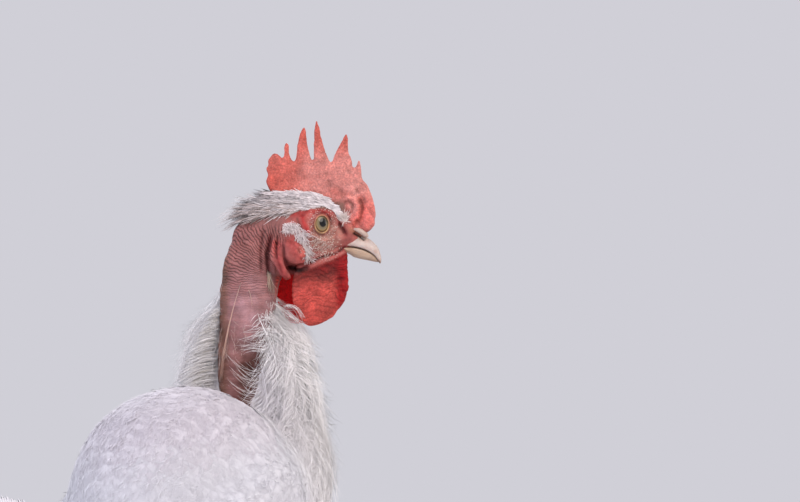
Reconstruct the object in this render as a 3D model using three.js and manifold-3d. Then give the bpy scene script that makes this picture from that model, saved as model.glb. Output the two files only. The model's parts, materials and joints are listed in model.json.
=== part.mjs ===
// A white naked-neck rooster standing still, life size: millimetres, +Z up, the trunk facing +X.
// Every mass of the bird is a loft: a rounded section carried along a spine. Neighbours are cut
// from each other with a thin gap, so each part of the body is one closed solid of its own.
import * as THREE from "three";
import { mergeVertices } from "three/addons/utils/BufferGeometryUtils.js";
import Module from "manifold-3d";

const wasm = await Module();
wasm.setup();

// ---------- Driving dimensions ----------
const eyeHeight = 494; // the eye's centre over the floor
const headTurn = THREE.MathUtils.degToRad(60); // the head looks this far to the bird's right
const gap = 0.3; // clearance between solids that touch
const simplifyBy = 0.13; // how far faces may move when small ones are merged
const eyeAt = { forward: 51.8, out: 9.2, radius: 7.8 };
const hockHeight = 106;
const stride = 9; // how far each foot stands before or behind the pair's middle
const stance = 44; // half the distance between the shanks
const mainSickleLength = 250;

// ---------- Materials ----------
function finish(colour, roughness) {
  return new THREE.MeshStandardMaterial({ color: colour, roughness, metalness: 0 });
}
const whiteFeather = finish("#dedae0", 0.8);
const redComb = finish("#c9564a", 0.5);
const redFace = finish("#b5625c", 0.55);
const neckSkin = finish("#a37575", 0.6);
const horn = finish("#d2b8a6", 0.35);
const eyeball = finish("#a8783c", 0.1);
const legScale = finish("#cfae74", 0.45);

// ---------- Shape tools ----------
const vector = (p) => new THREE.Vector3(...p);

// A curve through points, read by a share from 0 to 1 of its control points.
function curveThrough(points) {
  return new THREE.CatmullRomCurve3(points.map(vector), false, "centripetal");
}

// A rounded section carried along a spine. Each station is [x, y, z, side, up, down]: the spine's
// point, and the section's reach to both sides, towards `upward` and away from it. `blunt` sets
// how square the two ends are: 2 closes them as an ellipsoid does.
function loft({ stations, around = 16, along = 12, upward = [0, 0, 1], blunt = 3 }, grow = 0) {
  const spine = curveThrough(stations.map((s) => s.slice(0, 3)));
  const reach = curveThrough(stations.map((s) => s.slice(3, 6)));
  const geometry = new THREE.SphereGeometry(1, around, along);
  const place = geometry.getAttribute("position");
  const point = new THREE.Vector3();
  for (let i = 0; i < place.count; i += 1) {
    point.fromBufferAttribute(place, i);
    const share = THREE.MathUtils.clamp(Math.acos(THREE.MathUtils.clamp(point.y, -1, 1)) / Math.PI, 0, 1);
    const ring = Math.hypot(point.x, point.z) || 1;
    const closing = (1 - Math.abs(2 * share - 1) ** blunt) ** (1 / 2);
    const at = spine.getPoint(share);
    const sizes = reach.getPoint(share);
    const tangent = spine.getTangent(share);
    const up = vector(upward).projectOnPlane(tangent).normalize();
    const side = new THREE.Vector3().crossVectors(up, tangent);
    const lift = point.z > 0 ? sizes.y : sizes.z;
    at.addScaledVector(side, (point.x / ring) * closing * (sizes.x + grow));
    at.addScaledVector(up, (point.z / ring) * closing * (lift + grow));
    at.addScaledVector(tangent, grow * (2 * share - 1));
    place.setXYZ(i, at.x, at.y, at.z);
  }
  return geometry;
}

// A closed three.js geometry as a manifold-3d solid.
function solidOf(geometry) {
  const bare = geometry.index ? geometry.toNonIndexed() : geometry.clone();
  bare.deleteAttribute("normal");
  bare.deleteAttribute("uv");
  const merged = mergeVertices(bare, 1e-4);
  return new wasm.Manifold(
    new wasm.Mesh({
      numProp: 3,
      vertProperties: merged.getAttribute("position").array,
      triVerts: new Uint32Array(merged.index.array),
    }),
  );
}

// A solid's largest piece, back as a three.js geometry.
function geometryOf(solid) {
  const bodies = solid.simplify(simplifyBy).decompose().sort((a, b) => b.volume() - a.volume());
  const { vertProperties, triVerts } = bodies[0].getMesh();
  return new THREE.BufferGeometry()
    .setAttribute("position", new THREE.BufferAttribute(vertProperties, 3))
    .setIndex(new THREE.BufferAttribute(triVerts, 1));
}

// A box from one corner to the other, for cutting.
function block(low, high) {
  const size = vector(high).sub(vector(low));
  const geometry = new THREE.BoxGeometry(...size);
  return geometry.translate(...vector(low).addScaledVector(size, 0.5));
}

// One piece of the body: its solid, and the grown copy that its neighbours are cut back by.
function piece(spec) {
  return { solid: solidOf(loft(spec)), cutter: solidOf(loft(spec, gap)) };
}

// Two pieces grown into one.
function joined(a, b) {
  return { solid: a.solid.add(b.solid), cutter: a.cutter.add(b.cutter) };
}

function cutBy(target, ...others) {
  target.solid = others.reduce((left, other) => left.subtract(other.cutter ?? other), target.solid);
  return target;
}

// A named mesh of a solid, in the group that carries it.
function show(group, name, target, material) {
  const mesh = new THREE.Mesh(geometryOf(target.solid ?? target), material);
  mesh.name = name;
  group.add(mesh);
  return mesh;
}

const turned = (geometry) => geometry.rotateZ(-headTurn).translate(0, 0, eyeHeight);

// A piece of the head, whose stations are written along the beak's direction from the neck's axis,
// with the eye's level as zero.
function headPiece(spec) {
  return {
    solid: solidOf(turned(loft(spec))),
    cutter: solidOf(turned(loft(spec, gap))),
  };
}

// The same station list on the other side of the body.
const mirrored = (stations) => stations.map(([x, y, ...rest]) => [x, -y, ...rest]);

// ---------- Head ----------
const skullStations = [
  [0, 0, -10, 12, 12, 16],
  [12, 0, -8, 15.5, 20, 22],
  [26, 0, -6, 17, 23, 25],
  [40, 0, -5, 17, 23.5, 25],
  [53, 0, -5, 15.5, 22.5, 22.5],
  [65, 0, -7, 12.5, 18, 18],
  [76, 0, -11, 9.5, 10.5, 11],
  [86, 0, -13, 7, 5, 6],
];
const upperBeakStations = [
  [68, 0, -10, 7, 5, 5],
  [76, 0, -11, 7.6, 6, 5.4],
  [84, 0, -13.5, 6.8, 5, 4.4],
  [90, 0, -17.5, 5, 4.6, 4],
  [94, 0, -23, 3, 3.6, 2.8],
  [95.8, 0, -29.4, 1.1, 1.1, 1.1],
];
const lowerBeakStations = [
  [66, 0, -19, 6.2, 3.4, 3.2],
  [74, 0, -19.6, 6.4, 3.6, 3],
  [83, 0, -21.6, 5, 3.4, 3],
  [90, 0, -24.4, 3, 2.4, 2],
  [94.2, 0, -27.2, 1, 1, 1],
];
const capStations = [
  [71, 0, 2, 9, 8, 8],
  [60, 0, 8, 14.5, 9, 12],
  [44, 0, 8.5, 17.8, 12.4, 16],
  [28, 0, 8, 18.6, 13.2, 16],
  [12, 0, 7, 17.5, 13, 15],
  [0, 0, 6, 14, 8.5, 11],
  [-9, 0, 4.5, 8, 4, 5],
];
const capSkirt = { front: [74, -6], back: [-12, -12], low: [-80, -40, -60], high: [120, 40, 0], lift: 8 };

// The comb's outline, back to front: each point is a tip or a notch, along the head and up.
const combTips = [
  { notch: [19, 21], tip: [14.6, 28.4] },
  { notch: [17, 35], tip: [14.3, 38.2] },
  { notch: [17.2, 40.6], tip: [19.6, 47.7] },
  { notch: [27.3, 42.5], tip: [29.3, 55.3] },
  { notch: [35.2, 42.1], tip: [42.3, 65.9] },
  { notch: [48, 42.1], tip: [50.2, 70.9] },
  { notch: [60.7, 40.9], tip: [71.1, 61.2] },
  { notch: [75.9, 35.7], tip: [80.1, 42.8] },
];
const combFront = [
  [81.4, 35.5],
  [86.6, 27],
  [90, 16],
  [91, 6],
  [88.8, -4],
  [83, -7.5],
  [75, -5.5],
  [67, 4],
  [59, 12],
  [39, 15],
];
const combThickness = { base: 9, tip: 2.4, baseLevel: 14, tipLevel: 48, front: 12 };
const combFleshyFrom = [66, 84]; // along the head, where the comb's front starts and ends to swell
const spike = { waist: { along: 0.62, up: 0.42 }, tipShare: 0.1, widestTip: 0.7 };

function combGeometry(grow = 0) {
  const outline = new THREE.Shape();
  outline.moveTo(...combTips[0].notch);
  combTips.forEach(({ tip, notch }, i) => {
    const next = combTips[i + 1]?.notch ?? combFront[0];
    const waist = (from) => [
      THREE.MathUtils.lerp(from[0], tip[0], spike.waist.along),
      THREE.MathUtils.lerp(from[1], tip[1], spike.waist.up),
    ];
    const blunt = Math.min(spike.widestTip, Math.abs(next[0] - notch[0]) * spike.tipShare);
    outline.quadraticCurveTo(...waist(notch), tip[0] - blunt, tip[1]);
    outline.lineTo(tip[0] + blunt, tip[1]);
    outline.quadraticCurveTo(...waist(next), ...next);
  });
  outline.splineThru(combFront.slice(1).map((p) => new THREE.Vector2(...p)));
  outline.closePath();
  const geometry = new THREE.ExtrudeGeometry(outline, {
    depth: 1,
    curveSegments: 3,
    bevelEnabled: false,
  });
  geometry.translate(0, 0, -0.5).rotateX(Math.PI / 2);
  const place = geometry.getAttribute("position");
  for (let i = 0; i < place.count; i += 1) {
    const level = THREE.MathUtils.smoothstep(
      place.getZ(i),
      combThickness.baseLevel,
      combThickness.tipLevel,
    );
    const ahead = THREE.MathUtils.smoothstep(place.getX(i), ...combFleshyFrom) * (1 - level);
    const base = THREE.MathUtils.lerp(combThickness.base, combThickness.front, ahead);
    const thick = THREE.MathUtils.lerp(base, combThickness.tip, level);
    place.setY(i, place.getY(i) * (thick + 2 * grow));
  }
  return turned(geometry);
}

// A wattle hangs as a thin cupped flap: its width lies along the head, and it starts on the
// slanting line under the mouth. `rear` is how much of its full width it has behind its middle.
function wattleStations({ side, ahead, rear }) {
  return [
    [61 + ahead, side * 8, -19, 2, 9, 8 * rear],
    [57 + ahead, side * 10.5, -31, 2.6, 15.5, 22 * rear],
    [50 + ahead, side * 12.5, -43, 2.6, 23, 27.5 * rear],
    [48.5 + ahead, side * 13, -55, 2.5, 22.5, 25 * rear],
    [48.5 + ahead, side * 12, -66, 2.2, 17, 19 * rear],
    [48.5 + ahead, side * 11, -73.5, 1.8, 10, 12 * rear],
  ];
}

const wattles = [
  { side: -1, ahead: 1, rear: 0.66 },
  { side: 1, ahead: 1.5, rear: 1 },
];

function lobePieces(side) {
  const lobe = {
    stations: [
      [23, side * 14.5, -13, 3, 5, 6],
      [31, side * 17.6, -18, 3.8, 7, 8],
      [39, side * 17.6, -22, 3.8, 7, 7],
      [45, side * 15.4, -24, 2.6, 4.5, 4.5],
    ],
    around: 8,
    along: 6,
    blunt: 2,
  };
  const fold = {
    stations: [
      [25, side * 16.5, -12, 2.2, 3, 3],
      [26, side * 18.4, -23, 2.6, 3.2, 3.2],
      [29, side * 18.6, -33, 2.4, 3, 3],
      [32, side * 16.4, -41, 1.8, 2.2, 2.2],
    ],
    around: 6,
    along: 6,
    upward: [1, 0, 0],
    blunt: 2,
  };
  return joined(headPiece(lobe), headPiece(fold));
}

// ---------- Neck and trunk ----------
// The neck stands almost upright and bends forward into the head.
const neckStations = [
  [1, 0, -158, 19, 20, 19],
  [0, 0, -128, 18, 19, 18],
  [0, 0, -98, 17.5, 18.2, 17.6],
  [1, 0, -68, 18, 18.6, 18.4],
  [3, 0, -44, 18.5, 20, 20],
  [8.5, 0, -24, 17, 21, 23],
  [17, 0, -6, 13, 19, 19],
];
const neckSpec = { stations: neckStations, around: 12, along: 11, upward: [-1, 0, 0], blunt: 6 };
const neckCutLevel = -62; // upper and lower neck part here
const far = 900; // well beyond the bird, for the cutting blocks

const barrelStations = [
  [52, 0, 284, 40, 36, 44],
  [30, 0, 292, 57, 52, 70],
  [-10, 0, 298, 63, 62, 92],
  [-42, 0, 300, 69, 81, 99],
  [-75, 0, 297, 71, 89, 101],
  [-108, 0, 289, 67, 91, 97],
  [-142, 0, 275, 57, 78, 83],
  [-174, 0, 264, 42, 54, 59],
  [-204, 0, 264, 22, 27, 29],
];
const cropStations = [
  [8, 0, 408, 30, 20, 32],
  [9, 0, 388, 41, 26, 40],
  [11, 0, 352, 46, 30, 49],
  [14, 0, 312, 54, 50, 52],
  [14, 0, 270, 52, 50, 48],
  [6, 0, 232, 40, 44, 38],
];
const trunkCuts = { breast: -26, saddle: -116 }; // where breast, back and saddle part, along X

const ruffStations = [
  [4, 0, 447, 16, 16, 20],
  [4, 0, 432, 34, 34, 37],
  [3, 0, 412, 43, 43, 45],
  [3, 0, 386, 48, 46, 49],
  [3, 0, 352, 49, 40, 52],
  [3, 0, 326, 40, 30, 44],
];
const bareNape = { low: [-20, -120, -140], high: [12, -12, 20] }; // the ruff's opening by the nape

// ---------- Wings ----------
// A folded wing lies on the flank. Its three groups of feathers are lofts that part each other.
const wingStations = {
  shoulder: [
    [-26, -60, 298, 6, 10, 16],
    [-36, -64, 303, 9, 20, 30],
    [-58, -69, 308, 12, 30, 42],
    [-86, -70, 306, 12, 34, 44],
    [-114, -66, 298, 8, 27, 34],
  ],
  secondaries: [
    [-76, -71, 300, 6, 26, 36],
    [-108, -72, 287, 9, 32, 40],
    [-142, -67, 271, 8, 28, 34],
    [-176, -56, 257, 5, 20, 24],
    [-208, -44, 246, 2.5, 9, 10],
  ],
  primaries: [
    [-90, -65, 256, 4, 12, 18],
    [-130, -60, 240, 5, 14, 18],
    [-170, -50, 228, 4, 12, 14],
    [-206, -38, 222, 2.4, 8, 8],
    [-236, -28, 222, 1.2, 3, 3],
  ],
};

// ---------- Tail ----------
const tailRoot = [-186, 0, 267];
const fanFeathers = {
  count: 5,
  length: 155,
  width: 19,
  lowAngle: -8,
  highAngle: 30,
  droop: 16,
  splay: 3, // and as much again for the lowest feather
  shorter: 0.1, // of its length, that the lowest one lacks
};

// A single tail feather: a flat blade that leaves the rump at an angle, then curves down.
function plumeStations({ root, out, angle, length, width, droop, splay, thick = 1.3 }) {
  const steps = 6;
  const stations = [];
  const at = vector(root);
  for (let i = 0; i <= steps; i += 1) {
    const share = i / steps;
    const wide = width * Math.sin(Math.PI * Math.min(0.95, 0.16 + share * 0.78)) ** 0.8;
    stations.push([at.x, at.y, at.z, thick * (1 - 0.5 * share), wide, wide]);
    const lean = THREE.MathUtils.degToRad(angle - droop * share);
    const away = THREE.MathUtils.degToRad(splay);
    const step = length / steps;
    at.x -= Math.cos(lean) * Math.cos(away) * step;
    at.y += out * Math.cos(lean) * Math.sin(away) * step;
    at.z += Math.sin(lean) * step;
  }
  return stations;
}

const sickles = [
  { name: "main", lift: 12, angle: 34, length: mainSickleLength, width: 16, droop: 98, splay: 5 },
  { name: "second", lift: 8, angle: 27, length: 212, width: 15, droop: 88, splay: 9 },
  { name: "third", lift: 3, angle: 18, length: 180, width: 13, droop: 80, splay: 13 },
  { name: "low", lift: -4, angle: 6, length: 150, width: 12, droop: 70, splay: 17 },
];

// ---------- Legs ----------
// A leg is written for the right side, round the foot's own place on the floor.
const footAt = [-62, -stance, 0];
const hockFrom = { x: -32, z: hockHeight }; // the hock, from the foot
const thighStations = [
  [-42, -44, 262, 28, 44, 50],
  [-52, -51, 224, 30, 44, 50],
  [-67, -51, 184, 23, 31, 34],
  [-82, -47, 150, 14, 17, 18],
  [-92, -44, 116, 9, 9.5, 9.5],
];
const thighSwing = { from: 262, over: 130 }; // the hip stays, and the hock takes the whole stride
const shankStations = [
  [hockFrom.x - 2, 0, hockFrom.z + 12, 6.5, 7, 7],
  [hockFrom.x, 0, hockFrom.z, 8.8, 10, 9.6],
  [hockFrom.x + 6, 0, hockFrom.z - 22, 6.6, 8, 7.4],
  [-15, 0, 58, 6.3, 7.6, 7],
  [-6, 0, 29, 7, 8, 7.4],
  [0, 0, 13, 9, 9.8, 9.4],
  [2, 0, -12, 10, 10, 10],
];
const toes = [
  { name: "middle", turn: -4, length: 66, joints: 3, girth: 5.8 },
  { name: "inner", turn: 38, length: 48, joints: 2, girth: 5.4 },
  { name: "outer", turn: -44, length: 52, joints: 3, girth: 5.2 },
  { name: "hind", turn: 168, length: 22, joints: 1, girth: 4.6 },
];
const clawLength = 13;

// A toe runs forward along the floor from the ball of the foot, with a pad at each joint.
function toeStations({ length, joints, girth }) {
  const steps = joints * 2 + 2;
  return Array.from({ length: steps + 1 }, (_, i) => {
    const share = i / steps;
    const pad = girth * (1 - 0.24 * share) * (i % 2 ? 1 : 0.86);
    return [6 + (length - 6) * share, 0, 7.5 - 2.6 * share, pad * 0.92, pad, pad + 4];
  });
}

function clawStations({ length, girth }) {
  const root = girth * 0.52;
  return [
    [length - 6, 0, 5.4, root * 0.8, root, root],
    [length + clawLength * 0.25, 0, 6, root * 0.85, root, root],
    [length + clawLength * 0.65, 0, 4.4, root * 0.5, root * 0.6, root * 0.6],
    [length + clawLength, 0, 1.1, 0.6, 0.6, 0.6],
  ];
}

function legGroup(side) {
  const leg = new THREE.Group();
  const name = side < 0 ? "right" : "left";
  leg.position.set(footAt[0] - side * stride, side * stance, 0);
  leg.scale.y = -side; // the right leg as written, the left as its mirror image
  const floor = solidOf(block([-far, -far, -far], [far, far, 0]));
  const shank = piece({ stations: shankStations, around: 10, along: 10, upward: [1, 0, 0] });
  const thighTop = thighStations.map(([x, y, ...rest]) => [x - footAt[0], y - footAt[1], ...rest]);
  const thighCut = piece({ stations: thighTop, around: 11, along: 8, upward: [1, 0, 0] });
  cutBy(shank, thighCut, floor);
  show(leg, `shank_${name}`, shank, legScale);
  const spur = piece({
    stations: [
      [-14, 2, 52, 4.2, 4.2, 4.2],
      [-20, 7, 53, 3.6, 3.6, 3.6],
      [-27, 13, 56, 2, 2, 2],
      [-31, 17, 61, 0.6, 0.6, 0.6],
    ],
    around: 6,
    along: 5,
  });
  show(leg, `spur_${name}`, cutBy(spur, shank), horn);
  const placed = [shank];
  for (const toe of toes) {
    const swing = (spec, grow) =>
      solidOf(loft(spec, grow).rotateZ(THREE.MathUtils.degToRad(toe.turn)));
    const toeSpec = { stations: toeStations(toe), around: 6, along: toe.joints * 2 + 2, blunt: 4 };
    const clawSpec = { stations: clawStations(toe), around: 5, along: 4, blunt: 3 };
    const made = { solid: swing(toeSpec), cutter: swing(toeSpec, gap) };
    const claw = { solid: swing(clawSpec), cutter: swing(clawSpec, gap) };
    cutBy(made, ...placed, floor);
    cutBy(claw, made, floor);
    placed.push(made);
    show(leg, `toe_${toe.name}_${name}`, made, legScale);
    show(leg, `claw_${toe.name}_${name}`, claw, horn);
  }
  return leg;
}

// ---------- Assembly ----------
const rooster = new THREE.Group();
const regions = Object.fromEntries(
  ["head", "neck", "trunk", "wings", "tail", "legs"].map((name) => {
    const group = new THREE.Group();
    rooster.add(group);
    return [name, group];
  }),
);

// Trunk: one mass, parted by thin upright cuts into breast, back and saddle.
const trunk = joined(
  piece({ stations: barrelStations, around: 16, along: 11, blunt: 2.6 }),
  piece({ stations: cropStations, around: 14, along: 8, upward: [-1, 0, 0], blunt: 3 }),
);
const slab = (from, to) => solidOf(block([from, -far, -far], [to, far, far]));
const { breast, saddle } = trunkCuts;

// Thighs come out of the trunk, and the legs' shanks out of them.
for (const side of [-1, 1]) {
  const shift = -side * stride;
  const stations = thighStations.map(([x, y, z, ...rest]) => {
    const swung = THREE.MathUtils.smoothstep(thighSwing.from - z, 0, thighSwing.over);
    return [x + shift * swung, side < 0 ? y : -y, z, ...rest];
  });
  const thigh = piece({ stations, around: 11, along: 8, upward: [1, 0, 0] });
  const shankHole = piece({
    stations: shankStations.map(([x, y, z, ...rest]) => [
      x + footAt[0] + shift,
      side * stance + y,
      z,
      ...rest,
    ]),
    around: 10,
    along: 10,
    upward: [1, 0, 0],
  });
  cutBy(thigh, trunk);
  const kept = thigh.solid.subtract(shankHole.cutter);
  show(regions.legs, side < 0 ? "thigh_right" : "thigh_left", kept, whiteFeather);
  regions.legs.add(legGroup(side));
}

// Head: the hard and round parts stay whole, and the flesh is cut to seat them.
const eyeCentre = (side) => [eyeAt.forward, side * eyeAt.out, 0];
const ball = (side, grow = 0) =>
  turned(new THREE.SphereGeometry(eyeAt.radius + grow, 10, 7).translate(...eyeCentre(side)));
const eyes = [-1, 1].map((side) => ({ solid: solidOf(ball(side)), cutter: solidOf(ball(side, gap)) }));
const upperBeak = headPiece({ stations: upperBeakStations, around: 10, along: 9, blunt: 4 });
const lowerBeak = cutBy(
  headPiece({ stations: lowerBeakStations, around: 10, along: 7, blunt: 4 }),
  upperBeak,
);
const skull = cutBy(
  headPiece({ stations: skullStations, around: 12, along: 10 }),
  ...eyes,
  upperBeak,
  lowerBeak,
);
const comb = { solid: solidOf(combGeometry()), cutter: solidOf(combGeometry(gap)) };
cutBy(comb, skull, upperBeak);
const cap = headPiece({ stations: capStations, around: 12, along: 8, blunt: 3 });
// The skirt's front and back give the slanting line under which the head is bare.
const skirt = block(capSkirt.low, capSkirt.high)
  .rotateY(-Math.atan2(capSkirt.front[1] - capSkirt.back[1], capSkirt.front[0] - capSkirt.back[0]))
  .translate(capSkirt.back[0], 0, capSkirt.back[1] + capSkirt.lift);
cutBy(cap, skull, comb, ...eyes, solidOf(turned(skirt)));
const lobes = [-1, 1].map((side) => cutBy(lobePieces(side), skull));
const hanging = wattles.map((wattle, i) =>
  cutBy(
    headPiece({ stations: wattleStations(wattle), around: 12, along: 9, upward: [1, 0, 0] }),
    skull,
    upperBeak,
    lowerBeak,
    lobes[i],
  ),
);

// Neck: cut back by the head above and the trunk below, and parted in two lengths.
const neck = headPiece(neckSpec);
cutBy(neck, skull, trunk, cap, ...lobes, ...hanging);
const parting = eyeHeight + neckCutLevel;
const below = solidOf(block([-far, -far, -far], [far, far, parting]));
const above = solidOf(block([-far, -far, parting + gap], [far, far, far]));

// Ruff: the loose feathers round the foot of the neck, lower on the right where the skin is bare.
const ruff = piece({ stations: ruffStations, around: 12, along: 7, upward: [-1, 0, 0] });
const opening = block(bareNape.low, bareNape.high);
const wholeNeck = headPiece(neckSpec);
cutBy(ruff, trunk, wholeNeck, solidOf(turned(opening)));

// Wings: each group of feathers is cut by the trunk under it and by the group over it.
const wingNodes = [];
for (const side of [-1, 1]) {
  const over = [];
  for (const [name, stations] of Object.entries(wingStations)) {
    const placedStations = side < 0 ? stations : mirrored(stations);
    const made = piece({ stations: placedStations, around: 9, along: 8, blunt: 2.6 });
    cutBy(made, trunk, ...over);
    over.push(made);
    wingNodes.push({ name: `wing_${name}_${side < 0 ? "right" : "left"}`, made });
  }
}
cutBy(ruff, ...wingNodes.map(({ made }) => made));

// Tail: the rump's stub, a fan of stiff feathers on each side, and the curved sickles.
const stub = piece({
  stations: [
    [tailRoot[0] + 22, 0, tailRoot[2] - 6, 36, 36, 38],
    [tailRoot[0] - 8, 0, tailRoot[2] + 3, 27, 31, 32],
    [tailRoot[0] - 40, 0, tailRoot[2] + 15, 14, 22, 24],
    [tailRoot[0] - 66, 0, tailRoot[2] + 25, 4, 9, 12],
  ],
  around: 10,
  along: 5,
});
cutBy(stub, trunk);
const tailPieces = [];
for (const side of [-1, 1]) {
  const name = side < 0 ? "right" : "left";
  const blades = Array.from({ length: fanFeathers.count }, (_, i) => {
    const share = i / (fanFeathers.count - 1);
    const angle = THREE.MathUtils.lerp(fanFeathers.lowAngle, fanFeathers.highAngle, share);
    return {
      stations: plumeStations({
        root: [tailRoot[0] - 12, side * 5, tailRoot[2] + 6],
        out: side,
        angle,
        length: fanFeathers.length * (1 - fanFeathers.shorter * (1 - share)),
        width: fanFeathers.width,
        droop: fanFeathers.droop,
        splay: fanFeathers.splay * (2 - share),
      }),
      around: 6,
      along: 4,
      blunt: 4,
    };
  });
  const fan = blades.map((spec) => piece(spec)).reduce(joined);
  tailPieces.push({ name: `tail_fan_${name}`, made: fan });
  sickles.forEach((s, i) => {
    const spec = {
      stations: plumeStations({
        ...s,
        root: [tailRoot[0] - 4, side * (11 + 2.4 * i), tailRoot[2] + s.lift],
        out: side,
      }),
      around: 6,
      along: 8,
      blunt: 5,
    };
    tailPieces.push({ name: `tail_sickle_${s.name}_${name}`, made: piece(spec) });
  });
}
tailPieces.forEach(({ made }, i) => {
  cutBy(made, trunk, stub, ...tailPieces.slice(0, i).map((t) => t.made));
});

// ---------- Naming ----------
const asSolid = (solid) => ({ solid });
show(regions.trunk, "breast", asSolid(trunk.solid.intersect(slab(breast, far))), whiteFeather);
show(regions.trunk, "back", asSolid(trunk.solid.intersect(slab(saddle, breast - gap))), whiteFeather);
show(regions.trunk, "saddle", asSolid(trunk.solid.intersect(slab(-far, saddle - gap))), whiteFeather);
show(regions.head, "head", skull, redFace);
show(regions.head, "beak_upper", upperBeak, horn);
show(regions.head, "beak_lower", lowerBeak, horn);
show(regions.head, "comb", comb, redComb);
show(regions.head, "head_cap", cap, whiteFeather);
["right", "left"].forEach((name, i) => {
  show(regions.head, `eye_${name}`, eyes[i], eyeball);
  show(regions.head, `ear_lobe_${name}`, lobes[i], redComb);
  show(regions.head, `wattle_${name}`, hanging[i], redComb);
});
show(regions.neck, "neck_upper", asSolid(neck.solid.intersect(above)), neckSkin);
show(regions.neck, "neck_lower", asSolid(neck.solid.intersect(below)), neckSkin);
show(regions.neck, "ruff", ruff, whiteFeather);
wingNodes.forEach(({ name, made }) => show(regions.wings, name, made, whiteFeather));
show(regions.tail, "tail_stub", stub, whiteFeather);
tailPieces.forEach(({ name, made }) => show(regions.tail, name, made, whiteFeather));

// The origin is on the floor, in the middle of the bird's box.
const extent = new THREE.Box3().setFromObject(rooster);
const middle = extent.getCenter(new THREE.Vector3());
for (const group of Object.values(regions)) {
  group.position.set(-middle.x, -middle.y, -extent.min.z);
}

export default rooster;
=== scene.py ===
import json
import math
from functools import partial

import bmesh
import bpy
import numpy as np
from mathutils import Matrix, Vector
from mathutils.geometry import tessellate_polygon

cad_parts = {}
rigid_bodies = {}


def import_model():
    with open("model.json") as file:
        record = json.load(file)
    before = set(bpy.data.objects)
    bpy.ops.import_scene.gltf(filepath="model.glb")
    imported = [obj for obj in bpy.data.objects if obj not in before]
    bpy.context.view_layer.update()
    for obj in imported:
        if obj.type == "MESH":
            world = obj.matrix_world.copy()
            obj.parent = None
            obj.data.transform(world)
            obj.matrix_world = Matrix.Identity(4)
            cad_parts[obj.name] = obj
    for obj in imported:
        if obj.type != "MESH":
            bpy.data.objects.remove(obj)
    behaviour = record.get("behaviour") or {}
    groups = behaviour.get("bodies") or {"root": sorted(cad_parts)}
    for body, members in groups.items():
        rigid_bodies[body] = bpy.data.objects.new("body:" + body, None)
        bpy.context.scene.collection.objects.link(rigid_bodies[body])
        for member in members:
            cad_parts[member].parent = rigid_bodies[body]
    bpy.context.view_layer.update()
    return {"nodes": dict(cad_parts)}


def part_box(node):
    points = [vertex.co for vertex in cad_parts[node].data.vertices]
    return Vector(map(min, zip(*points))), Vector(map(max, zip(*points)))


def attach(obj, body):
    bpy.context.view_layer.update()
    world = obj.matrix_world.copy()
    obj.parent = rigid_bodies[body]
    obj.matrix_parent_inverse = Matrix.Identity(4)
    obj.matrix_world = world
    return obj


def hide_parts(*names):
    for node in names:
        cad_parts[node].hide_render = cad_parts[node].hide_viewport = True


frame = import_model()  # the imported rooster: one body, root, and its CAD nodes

mm = 0.001  # every shape is worked out in millimetres and put into its mesh in metres

# The head has a frame of its own: forward along the beak from the neck's axis, aside to the bird's
# left, up from the level of the eyes. The trunk faces +X.
headFrame = {"turn": -60.0, "eyeForward": 51.8, "eyeOut": 9.2, "eyeRadius": 7.8}


def unit(v):
    # the same direction at length 1
    return v / np.maximum(np.linalg.norm(v, axis=-1, keepdims=True), 1e-9)


def smooth(x, low, high):
    # 0 below low, 1 above high, and 3t²-2t³ between
    t = np.clip((np.asarray(x, float) - low) / (high - low), 0, 1)
    return t * t * (3 - 2 * t)


def nodeCentre(name):
    # the middle of a CAD node's box, in millimetres
    low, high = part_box(name)
    return np.array((low + high) / 2) / mm


turn = math.radians(headFrame["turn"])
ahead = np.array([math.cos(turn), math.sin(turn), 0.0])
aside = np.array([-math.sin(turn), math.cos(turn), 0.0])
upward = np.array([0.0, 0.0, 1.0])
eyeCentres = {-1: nodeCentre("eye_right"), 1: nodeCentre("eye_left")}
neckAxis = (eyeCentres[-1] + eyeCentres[1]) / 2 - headFrame["eyeForward"] * ahead


def fromHead(p):
    # from the head's frame to the shared one
    p = np.asarray(p, float)
    return neckAxis + p[..., 0:1] * ahead + p[..., 1:2] * aside + p[..., 2:3] * upward


def toHead(p):
    # from the shared frame to the head's
    d = p - neckAxis
    return np.stack([d @ ahead, d @ aside, d @ upward], -1)


def fromTrunk(p):
    # X is measured from the neck's axis, Z from the floor
    return np.asarray(p, float) + np.array([neckAxis[0], 0, 0])


def mix(a, b, share):
    # a at share 0 and b at share 1
    return a + (b - a) * share


def bell(distance, width):
    # 1 at no distance, 1/e at the width
    return np.exp(-(distance / width) ** 2)


def linear(code):
    # an sRGB hex colour as linear light
    c = np.array([int(code[i:i + 2], 16) for i in (1, 3, 5)]) / 255
    return np.where(c <= 0.04045, c / 12.92, ((c + 0.055) / 1.055) ** 2.4)


def tinted(tone, code, share):
    # each colour moved towards the named one by its own share
    return mix(tone, linear(code), np.reshape(share, (-1, 1)))


# ---- curves, lofts and meshes ----
def curveThrough(points, share):
    # centripetal Catmull-Rom: each span is a cubic whose end slopes come from the neighbours,
    # weighted by the square roots of the distances between the points
    p = np.asarray(points, float)
    p = np.vstack([2 * p[0] - p[1], p, 2 * p[-1] - p[-2]])
    at = np.clip(np.asarray(share, float), 0, 1) * (len(p) - 3)
    i = np.minimum(at.astype(int), len(p) - 4)
    w = (at - i)[:, None]
    a, b, c, d = p[i], p[i + 1], p[i + 2], p[i + 3]
    ab, bc, cd = (np.maximum(np.linalg.norm(y - x, axis=1), 1e-4)[:, None] ** 0.5
                  for x, y in ((a, b), (b, c), (c, d)))
    m = ((b - a) / ab - (c - a) / (ab + bc) + (c - b) / bc) * bc
    n = ((c - b) / bc - (d - b) / (bc + cd) + (d - c) / cd) * bc
    return b + w * (m + w * ((3 * (c - b) - 2 * m - n) + w * (2 * (b - c) + m + n)))


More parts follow.
